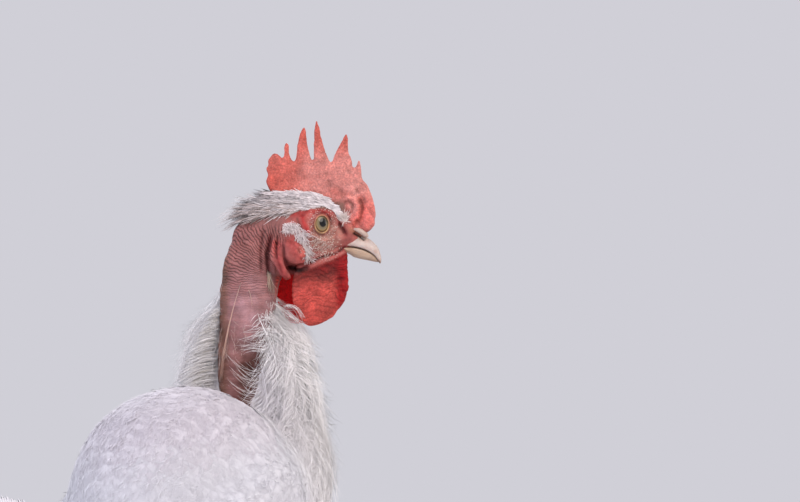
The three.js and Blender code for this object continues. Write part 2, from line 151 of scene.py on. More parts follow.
def loft(stations, around=24, along=24, up=(0, 0, 1), blunt=3.0):
    # a rounded section carried along a spine: spine(t) + closing(t)·(side·sin a·S + lift·cos a·U),
    # where closing(t) = (1-|2t-1|^blunt)^½ shuts both ends. Stations: x, y, z, side, up, down
    st = np.asarray(stations, float)
    share = np.linspace(0, 1, along + 1)
    spine, reach = curveThrough(st[:, :3], share), curveThrough(st[:, 3:6], share)
    tangent = unit(curveThrough(st[:, :3], share + 1e-3) - curveThrough(st[:, :3], share - 1e-3))
    up = np.asarray(up, float)
    lift = unit(up - tangent * (tangent @ up)[:, None])
    side = np.cross(lift, tangent)
    closing = np.maximum(1 - np.abs(2 * share - 1) ** blunt, 0) ** 0.5
    turnBy = np.linspace(0, 2 * math.pi, around, endpoint=False)
    reachUp = np.where(np.cos(turnBy) > 0, reach[:, 1:2], reach[:, 2:3]) * np.cos(turnBy)
    reachSide = reach[:, 0:1] * np.sin(turnBy)
    grid = spine[:, None] + closing[:, None, None] * (
        side[:, None] * reachSide[..., None] + lift[:, None] * reachUp[..., None])
    return closedGrid(grid)


def ringBands(row):
    # two triangles for each cell between rings of points that close on themselves
    nxt = np.roll(row, -1, axis=1)
    a, b, c, d = (x.ravel() for x in (row[:-1], nxt[:-1], nxt[1:], row[1:]))
    return np.vstack([np.stack([a, b, c], 1), np.stack([a, c, d], 1)])


def closedGrid(grid):
    # a surface of rows that close on themselves, shut by a pole at each end
    m, k = grid.shape[:2]
    points = np.vstack([grid[0].mean(0), grid[1:-1].reshape(-1, 3), grid[-1].mean(0)])
    row = 1 + np.arange((m - 2) * k).reshape(m - 2, k)
    nxt = np.roll(row, -1, axis=1)
    last = np.full(k, len(points) - 1)
    return facingOut(points, np.vstack([
        ringBands(row), np.stack([0 * last, nxt[0], row[0]], 1), np.stack([last, row[-1], nxt[-1]], 1)]))


def facingOut(points, triangles):
    # the signed volume tells which way the faces look
    p = points[triangles]
    if np.einsum("ij,ij->i", p[:, 0], np.cross(p[:, 1], p[:, 2])).sum() < 0:
        triangles = triangles[:, ::-1]
    return points, triangles


def joined(shapes):
    # several shapes as one
    offsets = np.cumsum([0] + [len(p) for p, _ in shapes[:-1]])
    return (np.vstack([p for p, _ in shapes]),
            np.vstack([t + o for (_, t), o in zip(shapes, offsets)]))


def makeMesh(name, points, triangles, facing=None):
    # facing, one direction for each corner of each triangle, takes the place of the mesh's own normals
    mesh = bpy.data.meshes.new(name)
    mesh.vertices.add(len(points))
    mesh.vertices.foreach_set("co", (points * mm).astype(np.float32).ravel())
    mesh.loops.add(triangles.size)
    mesh.loops.foreach_set("vertex_index", triangles.astype(np.int32).ravel())
    mesh.polygons.add(len(triangles))
    mesh.polygons.foreach_set("loop_start", np.arange(0, triangles.size, 3, dtype=np.int32))
    mesh.update(calc_edges=True)
    mesh.shade_smooth()
    if facing is not None:
        mesh.normals_split_custom_set(facing.reshape(-1, 3).astype(np.float32))
    return mesh


def meshArrays(mesh):
    # a mesh as its points in millimetres and its triangles
    points = np.empty(len(mesh.vertices) * 3, np.float32)
    mesh.vertices.foreach_get("co", points)
    mesh.calc_loop_triangles()
    triangles = np.empty(len(mesh.loop_triangles) * 3, np.int32)
    mesh.loop_triangles.foreach_get("vertices", triangles)
    return points.reshape(-1, 3).astype(float) / mm, triangles.reshape(-1, 3).astype(np.int64)


def placed(name, data):
    # a new object in the scene
    made = bpy.data.objects.new(name, data)
    bpy.context.scene.collection.objects.link(made)
    return made


def modified(points, triangles, setUp):
    # the shape after Blender's modifiers, which setUp puts on a helper object
    helper = placed("helper", makeMesh("helper", points, triangles))
    setUp(helper)
    graph = bpy.context.evaluated_depsgraph_get()
    mesh = bpy.data.meshes.new_from_object(helper.evaluated_get(graph))
    made = meshArrays(mesh)
    bpy.data.objects.remove(helper)
    bpy.data.meshes.remove(mesh)
    return made


def remeshed(shapes, voxel):
    # the shapes as one closed surface of cells of the voxel's size
    def setUp(helper):
        wrap = helper.modifiers.new("wrap", "REMESH")
        wrap.mode, wrap.voxel_size, wrap.adaptivity = "VOXEL", voxel * mm, 0

    return modified(*joined(shapes), setUp)


def thinned(points, triangles, loose, keepTriangles):
    # collapses the loose part of a mesh until about keepTriangles are left of it
    share = loose[triangles].all(1).sum() / len(triangles)

    def setUp(helper):
        group = helper.vertex_groups.new(name="loose")
        group.add(np.nonzero(loose)[0].tolist(), 1.0, "REPLACE")
        cut = helper.modifiers.new("cut", "DECIMATE")
        cut.ratio = 1 - share + keepTriangles / len(triangles)
        cut.vertex_group = "loose"

    return modified(points, triangles, setUp)


def refined(points, triangles, near):
    # splits every edge whose two ends are both near
    mesh = makeMesh("fine", points, triangles)
    ends = np.empty(2 * len(mesh.edges), np.int32)
    mesh.edges.foreach_get("vertices", ends)
    picked = np.nonzero(near[ends.reshape(-1, 2)].all(1))[0]
    bm = bmesh.new()
    bm.from_mesh(mesh)
    bm.edges.ensure_lookup_table()
    bmesh.ops.subdivide_edges(bm, edges=[bm.edges[i] for i in picked], cuts=1, use_grid_fill=True)
    bmesh.ops.triangulate(bm, faces=bm.faces)
    bm.to_mesh(mesh)
    bm.free()
    made = meshArrays(mesh)
    bpy.data.meshes.remove(mesh)
    return made


def edgePairs(triangles):
    # each edge once, as its two ends
    e = np.vstack([triangles[:, [0, 1]], triangles[:, [1, 2]], triangles[:, [2, 0]]])
    return np.unique(np.sort(e, axis=1), axis=0)


def relaxed(points, triangles, rounds, share=0.5):
    # each round moves every point towards the mean of its neighbours by that share
    a, b = edgePairs(triangles).T
    n = len(points)
    count = np.maximum(np.bincount(a, minlength=n) + np.bincount(b, minlength=n), 1)
    share = np.broadcast_to(share, (n,))[:, None]
    for _ in range(rounds):
        total = np.stack([np.bincount(a, points[b, k], n) + np.bincount(b, points[a, k], n)
                          for k in range(3)], 1)
        points = points + (total / count[:, None] - points) * share
    return points


def normalsOf(points, triangles):
    # a vertex looks the way its faces do together, each by its area
    p = points[triangles]
    face = np.cross(p[:, 1] - p[:, 0], p[:, 2] - p[:, 0])
    n = len(points)
    total = np.stack([sum(np.bincount(triangles[:, j], face[:, k], n) for j in range(3))
                      for k in range(3)], 1)
    return unit(total)


# the cubes of the noise are turned, so that its grain doesn't follow the axes
noiseTurn = np.array(Matrix.Rotation(0.7, 3, "X") @ Matrix.Rotation(0.6, 3, "Y")
                     @ Matrix.Rotation(0.9, 3, "Z"))


def noise(p, size, seed=0):
    # value noise: random numbers at the corners of cubes of that size, blended smoothly, -1 to 1
    table = np.random.default_rng(900 + seed).random(4096) * 2 - 1
    q = np.asarray(p, float) @ noiseTurn / size
    cell = np.floor(q).astype(np.int64)
    t = q - cell
    t = t * t * (3 - 2 * t)
    total = 0
    for corner in np.ndindex(2, 2, 2):
        c = cell + corner
        key = (c[:, 0] * 73856093 ^ c[:, 1] * 19349663 ^ c[:, 2] * 83492791) & 4095
        weight = np.prod(np.where(np.array(corner), t, 1 - t), axis=1)
        total = total + table[key] * weight
    return total


def cloudy(p, size, seed):
    # three octaves of noise, each half as large and half as strong
    middle, fine = noise(p, size / 2, seed + 50), noise(p, size / 4, seed + 80)
    return (noise(p, size, seed) + 0.5 * middle + 0.25 * fine) / 1.3


def lineDistance(points, line):
    # distance from each point to a broken line, and the share of the line where it is closest
    line = np.asarray(line, float)
    runs = np.linalg.norm(np.diff(line, axis=0), axis=1)
    best = np.full(len(points), 1e9)
    share = np.zeros(len(points))
    done = 0.0
    for a, b, run in zip(line[:-1], line[1:], runs):
        t = np.clip(((points - a) @ (b - a)) / run ** 2, 0, 1)
        d = np.linalg.norm(points - a - t[:, None] * (b - a), axis=1)
        closer = d < best
        best = np.where(closer, d, best)
        share = np.where(closer, (done + t * run) / runs.sum(), share)
        done += run
    return best, share


def nearest(points, cloud):
    # index of the closest cloud point, from |c|²/2 - p·c in blocks
    cloud = cloud.astype(np.float32)
    half = (cloud ** 2).sum(1) / 2
    best = np.empty(len(points), np.int64)
    for start in range(0, len(points), 1500):
        block = points[start:start + 1500].astype(np.float32)
        best[start:start + 1500] = np.argmin(half - block @ cloud.T, axis=1)
    return best


def addColour(mesh, name, rgb):
    # rgb is one linear colour for each vertex
    rgba = np.ones((len(rgb), 4), np.float32)
    rgba[:, :3] = rgb
    mesh.attributes.new(name, "FLOAT_COLOR", "POINT").data.foreach_set("color", rgba.ravel())


def addPatches(mesh, name, uv):
    # uv is one pair for each vertex
    corner = np.empty(len(mesh.loops), np.int32)
    mesh.loops.foreach_get("vertex_index", corner)
    layer = mesh.uv_layers.new(name=name)
    layer.data.foreach_set("uv", uv[corner].astype(np.float32).ravel())


def putIn(name, mesh, material, slot, *nodes):
    # a finished piece takes its material and the place of those CAD nodes; its slot is not used
    piece = placed(name, mesh)
    mesh.materials.append(material)
    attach(piece, "root")
    if nodes:
        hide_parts(*nodes)
    return piece


# ---- materials ----
def connect(node, inputs):
    # an input takes a value, a socket, or a node, whose first output it then reads
    for key, value in inputs.items() if isinstance(inputs, dict) else enumerate(inputs):
        if isinstance(value, bpy.types.Node):
            value = value.outputs[0]
        if isinstance(value, bpy.types.NodeSocket):
            node.id_data.links.new(value, node.inputs[key])
        else:
            node.inputs[key].default_value = value


def addNode(tree, kind, inputs=(), **settings):
    # a node of that kind with its settings, and its inputs set or linked
    node = tree.nodes.new("ShaderNode" + kind)
    for key, value in settings.items():
        setattr(node, key, value)
    connect(node, inputs)
    return node


def newMaterial(name):
    # a material with only its shader and output, and a function that adds nodes to it
    material = bpy.data.materials.new(name)
    material.use_nodes = True
    material.node_tree.nodes.clear()
    add = partial(addNode, material.node_tree)
    shader = add("BsdfPrincipled")
    add("OutputMaterial", {"Surface": shader})
    return material, shader, add


def clouded(add, attribute, pattern, dark, light):
    # the piece's own colour times a shade that runs from dark to light over a noise's usual values
    shade = add("MapRange", {"Value": pattern, "From Min": 0.3, "From Max": 0.7,
                             "To Min": dark, "To Max": light})
    tone = add("Attribute", attribute_name=attribute)
    return add("VectorMath", (tone, shade), operation="MULTIPLY")


def bareSkin():
    # bare fowl skin: moist pebbled comb and wattles, thin wrinkled neck; light passes into it
    material, shader, add = newMaterial("bareFowlSkin")
    place = add("TexCoord").outputs["Object"]
    relief = add("SeparateColor", {"Color": add("Attribute", attribute_name="relief")}).outputs
    run = add("Attribute", attribute_name="neckRun").outputs["Fac"]
    # papillae of the comb are about 0.6 mm; drawn at 1.2 mm so that they show
    pebble = add("TexVoronoi", {"Vector": place, "Scale": 760.0, "Randomness": 1.0})
    grain = add("TexNoise", {"Vector": place, "Scale": 760.0, "Detail": 2.0, "Roughness": 0.6})
    blotch = add("TexNoise", {"Vector": place, "Scale": 140.0, "Detail": 5.0, "Roughness": 0.6})
    # wrinkles run across the neck, 1.8 mm apart, wandering by a millimetre or two
    wander = add("TexNoise", {"Vector": place, "Scale": 110.0, "Detail": 4.0})
    wandered = add("Math", (wander, 6.5, run), operation="MULTIPLY_ADD")
    wave = add("Math", (add("Math", (wandered, 2 * math.pi / 1.8), operation="MULTIPLY"),), operation="SINE")
    # the grooves between the wrinkles are narrow: 0.6 - 1.9·(½ - ½·sin)³
    hollow = add("Math", (wave, -0.5, 0.5), operation="MULTIPLY_ADD")
    groove = add("Math", (hollow, 3.0), operation="POWER")
    fold = add("Math", (groove, -1.9, 0.6), operation="MULTIPLY_ADD")
    broken = add("Math", (grain, 1.6, 0.1), operation="MULTIPLY_ADD")
    crest = add("Math", (fold, broken), operation="MULTIPLY")
    ripple = add("Math", (crest, relief["Green"]), operation="MULTIPLY")
    dome = add("Math", (pebble, -1.0, 0.38), operation="MULTIPLY_ADD")
    bead = add("Math", (dome, relief["Red"]), operation="MULTIPLY")
    mottle = add("MapRange", {"Value": blotch, "From Min": 0.3, "From Max": 0.7,
                              "To Min": 0.8, "To Max": 1.16})
    fine = add("MapRange", {"Value": grain, "From Min": 0.3, "From Max": 0.7, "To Min": 0.91, "To Max": 1.09})
    shade = add("Math", (mottle, fine), operation="MULTIPLY")
    # painted shade and highlight: the colour is darker in the grooves between the wrinkles and between the
    # papillae, and paler on their tops
    shade = add("Math", (ripple, 0.42, shade), operation="MULTIPLY_ADD")
    shade = add("Math", (bead, 0.16, shade), operation="MULTIPLY_ADD")
    # painted highlight: the papillae have paler crowns
    crown = add("Math", (grain, 0.9, -0.4), operation="MULTIPLY_ADD")
    crown = add("Math", (crown, relief["Red"]), operation="MULTIPLY")
    shade = add("Math", (add("Math", (crown, -0.08), operation="MAXIMUM"), shade), operation="ADD")
    tone = add("Attribute", attribute_name="skinTone")
    colour = add("VectorMath", (tone, shade), operation="MULTIPLY")
    # pale dots stipple the cheek
    dots = add("TexVoronoi", {"Vector": place, "Scale": 620.0}, feature="F1")
    dot = add("MapRange", {"Value": dots, "From Min": 0.42, "From Max": 0.2})
    dotted = add("Math", (dot, relief["Blue"]), operation="MULTIPLY")
    pale = add("Mix", {0: dotted, 6: colour, 7: (*linear("#cbb0a5"), 1)}, data_type="RGBA")
    high = add("Math", (grain, 0.6, ripple), operation="MULTIPLY_ADD")
    high = add("Math", (bead, 0.7, high), operation="MULTIPLY_ADD")
    high = add("Math", (dotted, high), operation="ADD")
    bump = add("Bump", {"Height": high, "Strength": 0.75, "Distance": 0.0005})
    connect(shader, {"Base Color": pale.outputs[2], "Normal": bump, "Roughness": 0.5, "IOR": 1.4,
                     "Specular IOR Level": 0.25, "Subsurface Weight": 0.22,
                     "Subsurface Radius": (1.0, 0.35, 0.25), "Subsurface Scale": 0.002})
    return material


def whiteFeather(name, contrast, shaftShade):
    # white vane feathers: keratin barbs that scatter light softly, with a faint silky sheen
    material, shader, add = newMaterial(name)
    cut = add("SeparateXYZ", (add("UVMap", uv_map="barbs"),)).outputs
    # barbs slant forward from the shaft, about 1.3 mm apart so that they show
    slant = add("Math", (cut["Y"], -1.1, cut["X"]), operation="MULTIPLY_ADD")
    wave = add("Math", (add("Math", (slant, 2 * math.pi / 1.3), operation="MULTIPLY"),), operation="SINE")
    shade = add("Math", (wave, contrast, 0.985), operation="MULTIPLY_ADD")
    # the shaft is a ridge a millimetre wide on each side, a little darker than the vane
    quill = add("MapRange", {"Value": cut["Y"], "From Min": 0.5, "From Max": 1.4, "To Min": 1 - shaftShade})
    shade = add("Math", (shade, quill), operation="MULTIPLY")
    tone = add("Attribute", attribute_name="featherTone")
    colour = add("VectorMath", (tone, shade), operation="MULTIPLY")
    bump = add("Bump", {"Height": wave, "Strength": 0.2, "Distance": 0.0002})
    connect(shader, {"Base Color": colour, "Normal": bump, "Roughness": 0.72, "IOR": 1.45,
                     "Sheen Weight": 0.25, "Sheen Roughness": 0.5, "Subsurface Weight": 0.4,
                     "Subsurface Radius": (1.0, 1.0, 1.0), "Subsurface Scale": 0.003})
    return material


def softDown():
    # single barbs and bristles: the same keratin without a vane, so no light passes through it
    material, shader, add = newMaterial("looseBarbKeratin")
    drift = add("TexNoise", {"Vector": add("TexCoord").outputs["Object"], "Scale": 260.0, "Detail": 2.0})
    shade = add("MapRange", {"Value": drift, "To Min": 0.9, "To Max": 1.06})
    tone = add("Attribute", attribute_name="featherTone")
    colour = add("VectorMath", (tone, shade), operation="MULTIPLY")
    connect(shader, {"Base Color": colour, "Roughness": 0.6, "IOR": 1.45, "Sheen Weight": 0.6,
                     "Sheen Roughness": 0.6})
    return material


def beakHorn(name, roughness):
    # horn of beak, claws and spurs: pale, slightly see-through, polished by wear, with growth lines
    material, shader, add = newMaterial(name)
    place = add("TexCoord").outputs["Object"]
    cloud = add("TexNoise", {"Vector": place, "Scale": 300.0, "Detail": 4.0})
    stretched = add("Mapping", {"Vector": place, "Scale": (300.0, 300.0, 1400.0)})
    lines = add("TexNoise", {"Vector": stretched, "Scale": 1.0, "Detail": 2.0})
    bump = add("Bump", {"Height": lines, "Strength": 0.25, "Distance": 0.0002})
    connect(shader, {"Base Color": clouded(add, "hornTone", cloud, 0.88, 1.06), "Normal": bump,
                     "Roughness": roughness, "IOR": 1.54, "Subsurface Weight": 0.25,
                     "Subsurface Radius": (1.0, 0.6, 0.4), "Subsurface Scale": 0.0015})
    return material


def wetEye():
    # the eye behind its cornea: a dark pupil in an olive-amber iris, under a wet clear coat
    material, shader, add = newMaterial("wetEye")
    cut = add("SeparateXYZ", (add("Attribute", attribute_name="irisPlace").outputs["Vector"],)).outputs
    flat = add("CombineXYZ", {"X": cut["X"], "Y": cut["Y"]})
    radius = add("VectorMath", (flat,), operation="LENGTH").outputs["Value"]
    rays = add("VectorMath", (flat,), operation="NORMALIZE")
    fibre = add("TexNoise", {"Vector": rays, "Scale": 9.0, "Detail": 5.0})
    spread = add("Math", (fibre, 0.5), operation="SUBTRACT")
    ramp = add("ValToRGB", (add("Math", (spread, 0.16, radius), operation="MULTIPLY_ADD"),))
    stops = [(0.0, "#020202"), (0.46, "#050404"), (0.5, "#3a2f1c"), (0.58, "#776a50"), (0.74, "#7d7156"),
             (0.88, "#947b52"), (0.97, "#8a6a3c"), (1.0, "#5a4226")]
    elements = ramp.color_ramp.elements
    while len(elements) < len(stops):
        elements.new(0.5)
    for element, (share, code) in zip(elements, stops):
        element.position = share
        element.color = (*linear(code), 1)
    # under the clear coat the iris is wet, and reflects little
    connect(shader, {"Base Color": ramp, "Roughness": 0.35, "IOR": 1.1, "Coat Weight": 1.0,
                     "Coat Roughness": 0.02, "Coat IOR": 1.45})
    return material


def legScales():
    # scaled shanks: dull yellow keratin plates with darker seams
    material, shader, add = newMaterial("legScaleKeratin")
    place = add("TexCoord").outputs["Object"]
    cloud = add("TexNoise", {"Vector": place, "Scale": 180.0, "Detail": 5.0})
    cells = add("TexVoronoi", {"Vector": place, "Scale": 420.0}, feature="F1")
    high = add("Math", (cells, -0.6, cloud), operation="MULTIPLY_ADD")
    bump = add("Bump", {"Height": high, "Strength": 0.3, "Distance": 0.0004})
    connect(shader, {"Base Color": clouded(add, "scaleTone", cloud, 0.84, 1.08), "Normal": bump,
                     "Roughness": 0.45, "IOR": 1.5, "Subsurface Weight": 0.12, "Subsurface Scale": 0.001})
    return material


skinMaterial = bareSkin()
vaneMaterial = whiteFeather("whiteFeatherKeratin", 0.018, 0.0)
quillMaterial = whiteFeather("whiteQuillKeratin", 0.06, 0.2)
downMaterial = softDown()
hornMaterial = beakHorn("beakHorn", 0.32)
clawMaterial = beakHorn("clawHorn", 0.38)
eyeMaterial = wetEye()
scaleMaterial = legScales()
print("materials made")


# ---- camera, floor and light ----
view = {
    "azimuth": -60.0, "elevation": 3.0, "distance": 2.5, "width": 0.56, "sensor": 36.0,
    "aimAhead": 108.5, "aimUp": -20.3,  # the middle of the picture, in the head's frame
    "background": "#d0cfd7",
}


def placeCamera():
    # it looks at its aim from `distance` off, turned by `azimuth` and raised by `elevation`
    az, el = math.radians(view["azimuth"]), math.radians(view["elevation"])
    right = Vector((math.cos(az), math.sin(az), 0))
    back = Vector((math.sin(az) * math.cos(el), -math.cos(az) * math.cos(el), math.sin(el)))
    target = Vector(neckAxis * mm) + right * view["aimAhead"] * mm + Vector((0, 0, view["aimUp"] * mm))
    lens = bpy.data.cameras.new("studioCamera")
    lens.sensor_width = view["sensor"]
    lens.lens = view["sensor"] * view["distance"] / view["width"]
    lens.clip_end = 60
    camera = placed("studioCamera", lens)
    turned = Matrix((right, back.cross(right), back)).transposed().to_4x4()
    camera.matrix_world = Matrix.Translation(target + back * view["distance"]) @ turned
    bpy.context.scene.camera = camera
    bpy.context.scene.view_settings.view_transform = "Standard"


studio = {
    "floorRings": (0.3, 0.8, 1.6, 3.2, 7.0, 16.0), "floorSides": 64, "floorTone": "#c2c1c8",
    "fadeFrom": 0.6, "fadeTo": 1.8, "worldStrength": 0.84, "aimBelowHead": (0.05, 0, 0.1),
    "lights": {  # name: direction from the bird in degrees round and up, distance, size, watts, colour
        "keyBox": (-21, 30, 2.4, 1.7, 31, "#fff6ec"),
        "sideBox": (34, 10, 2.4, 1.8, 19, "#fff6ec"),
        "crownBox": (-76, 44, 2.2, 1.3, 12, "#eef2ff"),
        "skyBox": (-114, 22, 2.2, 1.5, 18, "#eef2ff"),
        "backBox": (126, 26, 2.6, 1.8, 24, "#f4f2ff"),
    },
}


def placeFloor(tone):
    # a round floor: rings of points r·(cos a, sin a, 0), fading into the background far out
    sides = studio["floorSides"]
    turns = np.linspace(0, 2 * math.pi, sides, endpoint=False)
    rings = np.array(studio["floorRings"]) / mm
    grid = rings[:, None, None] * np.stack([np.cos(turns), np.sin(turns), 0 * turns], 1)
    points = np.vstack([np.zeros(3), grid.reshape(-1, 3)])
    row = 1 + np.arange(len(rings) * sides).reshape(len(rings), sides)
    middle = np.stack([np.zeros(sides, int), row[0], np.roll(row[0], -1)], 1)
    material, shader, add = newMaterial("palePlasterFloor")
    connect(shader, {"Base Color": (*linear(studio["floorTone"]), 1), "Roughness": 0.9})
    far = add("VectorMath", (add("TexCoord").outputs["Object"],), operation="LENGTH").outputs["Value"]
    fade = add("MapRange", {"Value": far, "From Min": studio["fadeFrom"], "From Max": studio["fadeTo"]},
               interpolation_type="SMOOTHSTEP")
    glow = add("Emission", {"Color": tone, "Strength": 1.0})
    output = shader.outputs[0].links[0].to_node
    connect(output, {"Surface": add("MixShader", (fade, shader, glow))})
    triangles = np.vstack([ringBands(row)[:, ::-1], middle])
    floor = placed("studioFloor", makeMesh("studioFloor", points, triangles))
    floor.data.materials.append(material)


def placeStudio():
    # an even world, the floor, and lamps that all face the bird
    world = bpy.data.worlds.new("studioWorld")
    bpy.context.scene.world = world
    world.use_nodes = True
    world.node_tree.nodes.clear()
    add = partial(addNode, world.node_tree)
    tone = (*linear(view["background"]), 1)
    seen = add("Background", {"Color": tone, "Strength": 1.0})
    lit = add("Background", {"Color": tone, "Strength": studio["worldStrength"]})
    both = add("MixShader", (add("LightPath").outputs["Is Camera Ray"], lit, seen))
    add("OutputWorld", (both,))
    placeFloor(tone)
    aim = Vector(neckAxis * mm) - Vector(studio["aimBelowHead"])
    for name, (around, above, distance, size, watts, code) in studio["lights"].items():
        lamp = bpy.data.lights.new(name, "AREA")
        lamp.shape, lamp.size, lamp.energy = "DISK", size, watts
        lamp.color = linear(code)
        lit = placed(name, lamp)
        a, e = math.radians(around), math.radians(above)
        lean = Vector((math.sin(a) * math.cos(e), -math.cos(a) * math.cos(e), math.sin(e)))
        lit.location = aim + lean * distance
        lit.rotation_euler = lean.to_track_quat("Z", "Y").to_euler()


placeCamera()
placeStudio()
print("camera and studio placed")


# ---- the coat's outer surface, from the CAD masses ----
sides = {"right": -1, "left": 1}


def bothSides(*parts):
    # the names of the right parts, then of the left ones
    return [f"{part}_{side}" for side in sides for part in parts]


coatSurface = {
    "nodes": ["breast", "back", "saddle", "tail_stub",
              *bothSides("thigh", "wing_shoulder", "wing_secondaries", "wing_primaries")],
    "voxel": 3.0, "smoothing": 14, "regain": 1.6, "ledgeSmoothing": 70,
}
# The foot of the neck is bare on the bird's right, behind the ruff: forward and aside in the head's
# frame, and the levels over the floor between which the mass draws back to the neck.
bareFoot = {"ahead": 9, "near": -4, "top": 372, "foot": 352, "radius": 18.5, "from": 46, "to": 30}


def mergedNode(name):
    # a CAD node's loose triangles, joined at their shared corners
    points, triangles = meshArrays(frame["nodes"][name].data)
    merged, index = np.unique(np.round(points, 3), axis=0, return_inverse=True)
    return merged, index.reshape(-1)[triangles]


def bareShare(h, height):
    # 1 in the bare sector at the neck's foot and 0 outside it
    sector = smooth(h[:, 0], bareFoot["ahead"] + 10, bareFoot["ahead"])
    sector = sector * smooth(-h[:, 1], -bareFoot["near"] - 6, -bareFoot["near"] + 6)
    around = smooth(np.hypot(h[:, 0], h[:, 1]), bareFoot["from"], bareFoot["to"])
    return sector * around * smooth(height, bareFoot["foot"], bareFoot["top"])


outerPoints, outerTriangles = remeshed([mergedNode(n) for n in coatSurface["nodes"]], coatSurface["voxel"])
outerPoints = relaxed(outerPoints, outerTriangles, coatSurface["smoothing"])
# the wing's upper edge runs softly into the back
trunkX = outerPoints[:, 0] - neckAxis[0]
ledge = smooth(trunkX, 5, -20) * smooth(trunkX, -185, -160) * smooth(np.abs(outerPoints[:, 1]), 30, 48)
ledge = ledge * smooth(outerPoints[:, 2], 284, 300) * smooth(outerPoints[:, 2], 362, 345)
outerPoints = relaxed(outerPoints, outerTriangles, coatSurface["ledgeSmoothing"], 0.5 * ledge)
outerHead = toHead(outerPoints)
pull = bareShare(outerHead, outerPoints[:, 2])
reachNow = np.hypot(outerHead[:, 0], outerHead[:, 1])
target = np.minimum(reachNow, bareFoot["radius"])
outerHead[:, :2] *= (1 - pull + pull * target / np.maximum(reachNow, 1))[:, None]
outerPoints = relaxed(fromHead(outerHead), outerTriangles, 8)
outerNormals = normalsOf(outerPoints, outerTriangles)
outerPoints = outerPoints + outerNormals * (coatSurface["regain"] * (1 - pull))[:, None]
print("coat surface:", len(outerPoints), "points")

# ---- flesh: stations in the head's frame ----
headShape = {
    "skull": [
        (-8, 0, -16, 10, 10, 13), (0, 0, -10.5, 14, 13.5, 17), (12, 0, -8, 15.8, 18, 22),
        (26, 0, -6, 17, 19.5, 25), (40, 0, -5, 17, 20, 25), (53, 0, -5, 15.5, 20, 22.5),
        (65, 0, -7, 12.5, 15, 18), (76, 0, -11, 9.5, 9.5, 10), (84, 0, -13, 6.5, 5, 5)],
    "neck": [
        (1, 0, -176, 22, 22, 22), (0, 0, -128, 18, 19.5, 19.6), (0, 0, -98, 17.5, 19, 18.8),
        (1, 0, -68, 18, 19, 19.4), (3, 0, -44, 18.5, 20, 20.5), (8, 0, -24, 17, 21, 22),
        (15, 0, -7, 13, 19, 20)],
    "lobe": [(24, 15, -13, 3, 5, 6), (31, 18, -18, 4.2, 7, 8), (38.5, 18.2, -22, 4.4, 7, 7.5),
             (44.5, 16, -25, 3, 5, 5)],
    "fold": [(24, 16, -13, 2.4, 3, 3), (24.4, 19, -20, 2.6, 2.6, 2.6), (27, 20, -30, 2.4, 2.4, 2.4),
             (30.5, 19, -37, 2.3, 2.5, 2.5), (31.5, 17.5, -40, 1.8, 2, 2)],
    "foldBehind": [(20.4, 14, -14, 2, 2.4, 2.4), (21, 18, -20, 2.1, 2.1, 2.1), (23.6, 19.2, -29, 2.1, 2, 2),
                   (27.2, 18.6, -36, 1.8, 2, 2), (29.4, 17, -39.5, 1.4, 1.5, 1.5)],
    "jaw": [(62, 6, -19, 3.5, 3, 3), (52, 9.5, -23.5, 4, 3.4, 3.6), (42, 11.5, -29, 4, 3.4, 3.6),
            (34, 11, -35, 3.5, 3, 3)],
}
combShape = {
    # the blade's outline, forward and up, from the rear lobes over the five points to the front
    "outline": [
        (17.9, 21.5), (14.7, 28), (15.6, 30.6), (16.4, 32.9), (14.8, 37.1), (16.7, 39.7), (16.2, 42.7),
        (18.2, 46.2), (20.5, 48.4), (23.8, 46.9), (25.9, 44.5), (27, 42.7), (27.6, 49), (27.6, 53.4),
        (29.2, 55.8), (30.8, 53.4), (31, 49), (32.2, 44.8), (34.7, 42.3), (35.8, 44.8), (36.6, 52.5),
        (38.6, 61.6), (41.6, 66.6), (43, 62.3), (44, 53.2), (45.4, 47.6), (47.5, 42.2), (48.3, 44.8),
        (48.1, 53.9), (48.7, 64.4), (50.1, 71.6), (51.7, 67.2), (53.8, 58.8), (56.5, 49.7), (60.2, 41.3),
        (62, 44.8), (64.8, 51.1), (67.7, 56.4), (70.9, 61.8), (72.2, 58.8), (72.3, 52.5), (72.9, 47),
        (74.2, 46.2), (75.3, 40.6), (75.7, 35.7), (77.4, 38.9), (80, 43.8), (81.1, 39.9), (81.6, 33.6),
        (82.3, 29.7), (85.6, 25.9), (89.4, 15.4), (91.2, 5.6), (90.2, -2.1), (86, -7.2), (78, -6.5),
        (70, 0), (62, 10), (40, 13), (24, 17)],
    "base": 8.5, "tip": 2.6, "baseLevel": 16, "tipLevel": 50, "front": 14, "frontFrom": 58, "frontTo": 76,
    "rim": 3.2, "voxel": 0.75,
}
wattleShape = {
    "outline": [
        (38.5, -31), (47, -27.5), (56.7, -23.5), (68, -18), (71.6, -21), (72.3, -30), (72.4, -40), (72, -48),
        (69.6, -55), (65.8, -61.5), (60.5, -67), (52, -71.8), (45, -72.8), (40, -70), (36.4, -65), (34, -57),
        (33, -48), (33.6, -40), (35.4, -34.5)],
    # each wattle's side of the head, and how far it hangs forward of the near one
    "near": {"side": -1, "shift": 0.0}, "far": {"side": 1, "shift": -11.5},
    # level, distance from the head's middle plane
    "levels": [(-17, 6.5), (-31, 10.5), (-43, 12.5), (-55, 13), (-66, 12), (-74, 11)],
    "half": 2.5, "rim": 4.5, "voxel": 0.75, "cup": 2.2, "cupMiddle": 52, "cupHalf": 20,
}


def smoothOutline(points, perSpan=3):
    # a closed curve through the outline's points
    closed = list(points) + [points[0]]
    share = np.arange(perSpan * len(points)) / (perSpan * len(points))
    return curveThrough(closed, share)


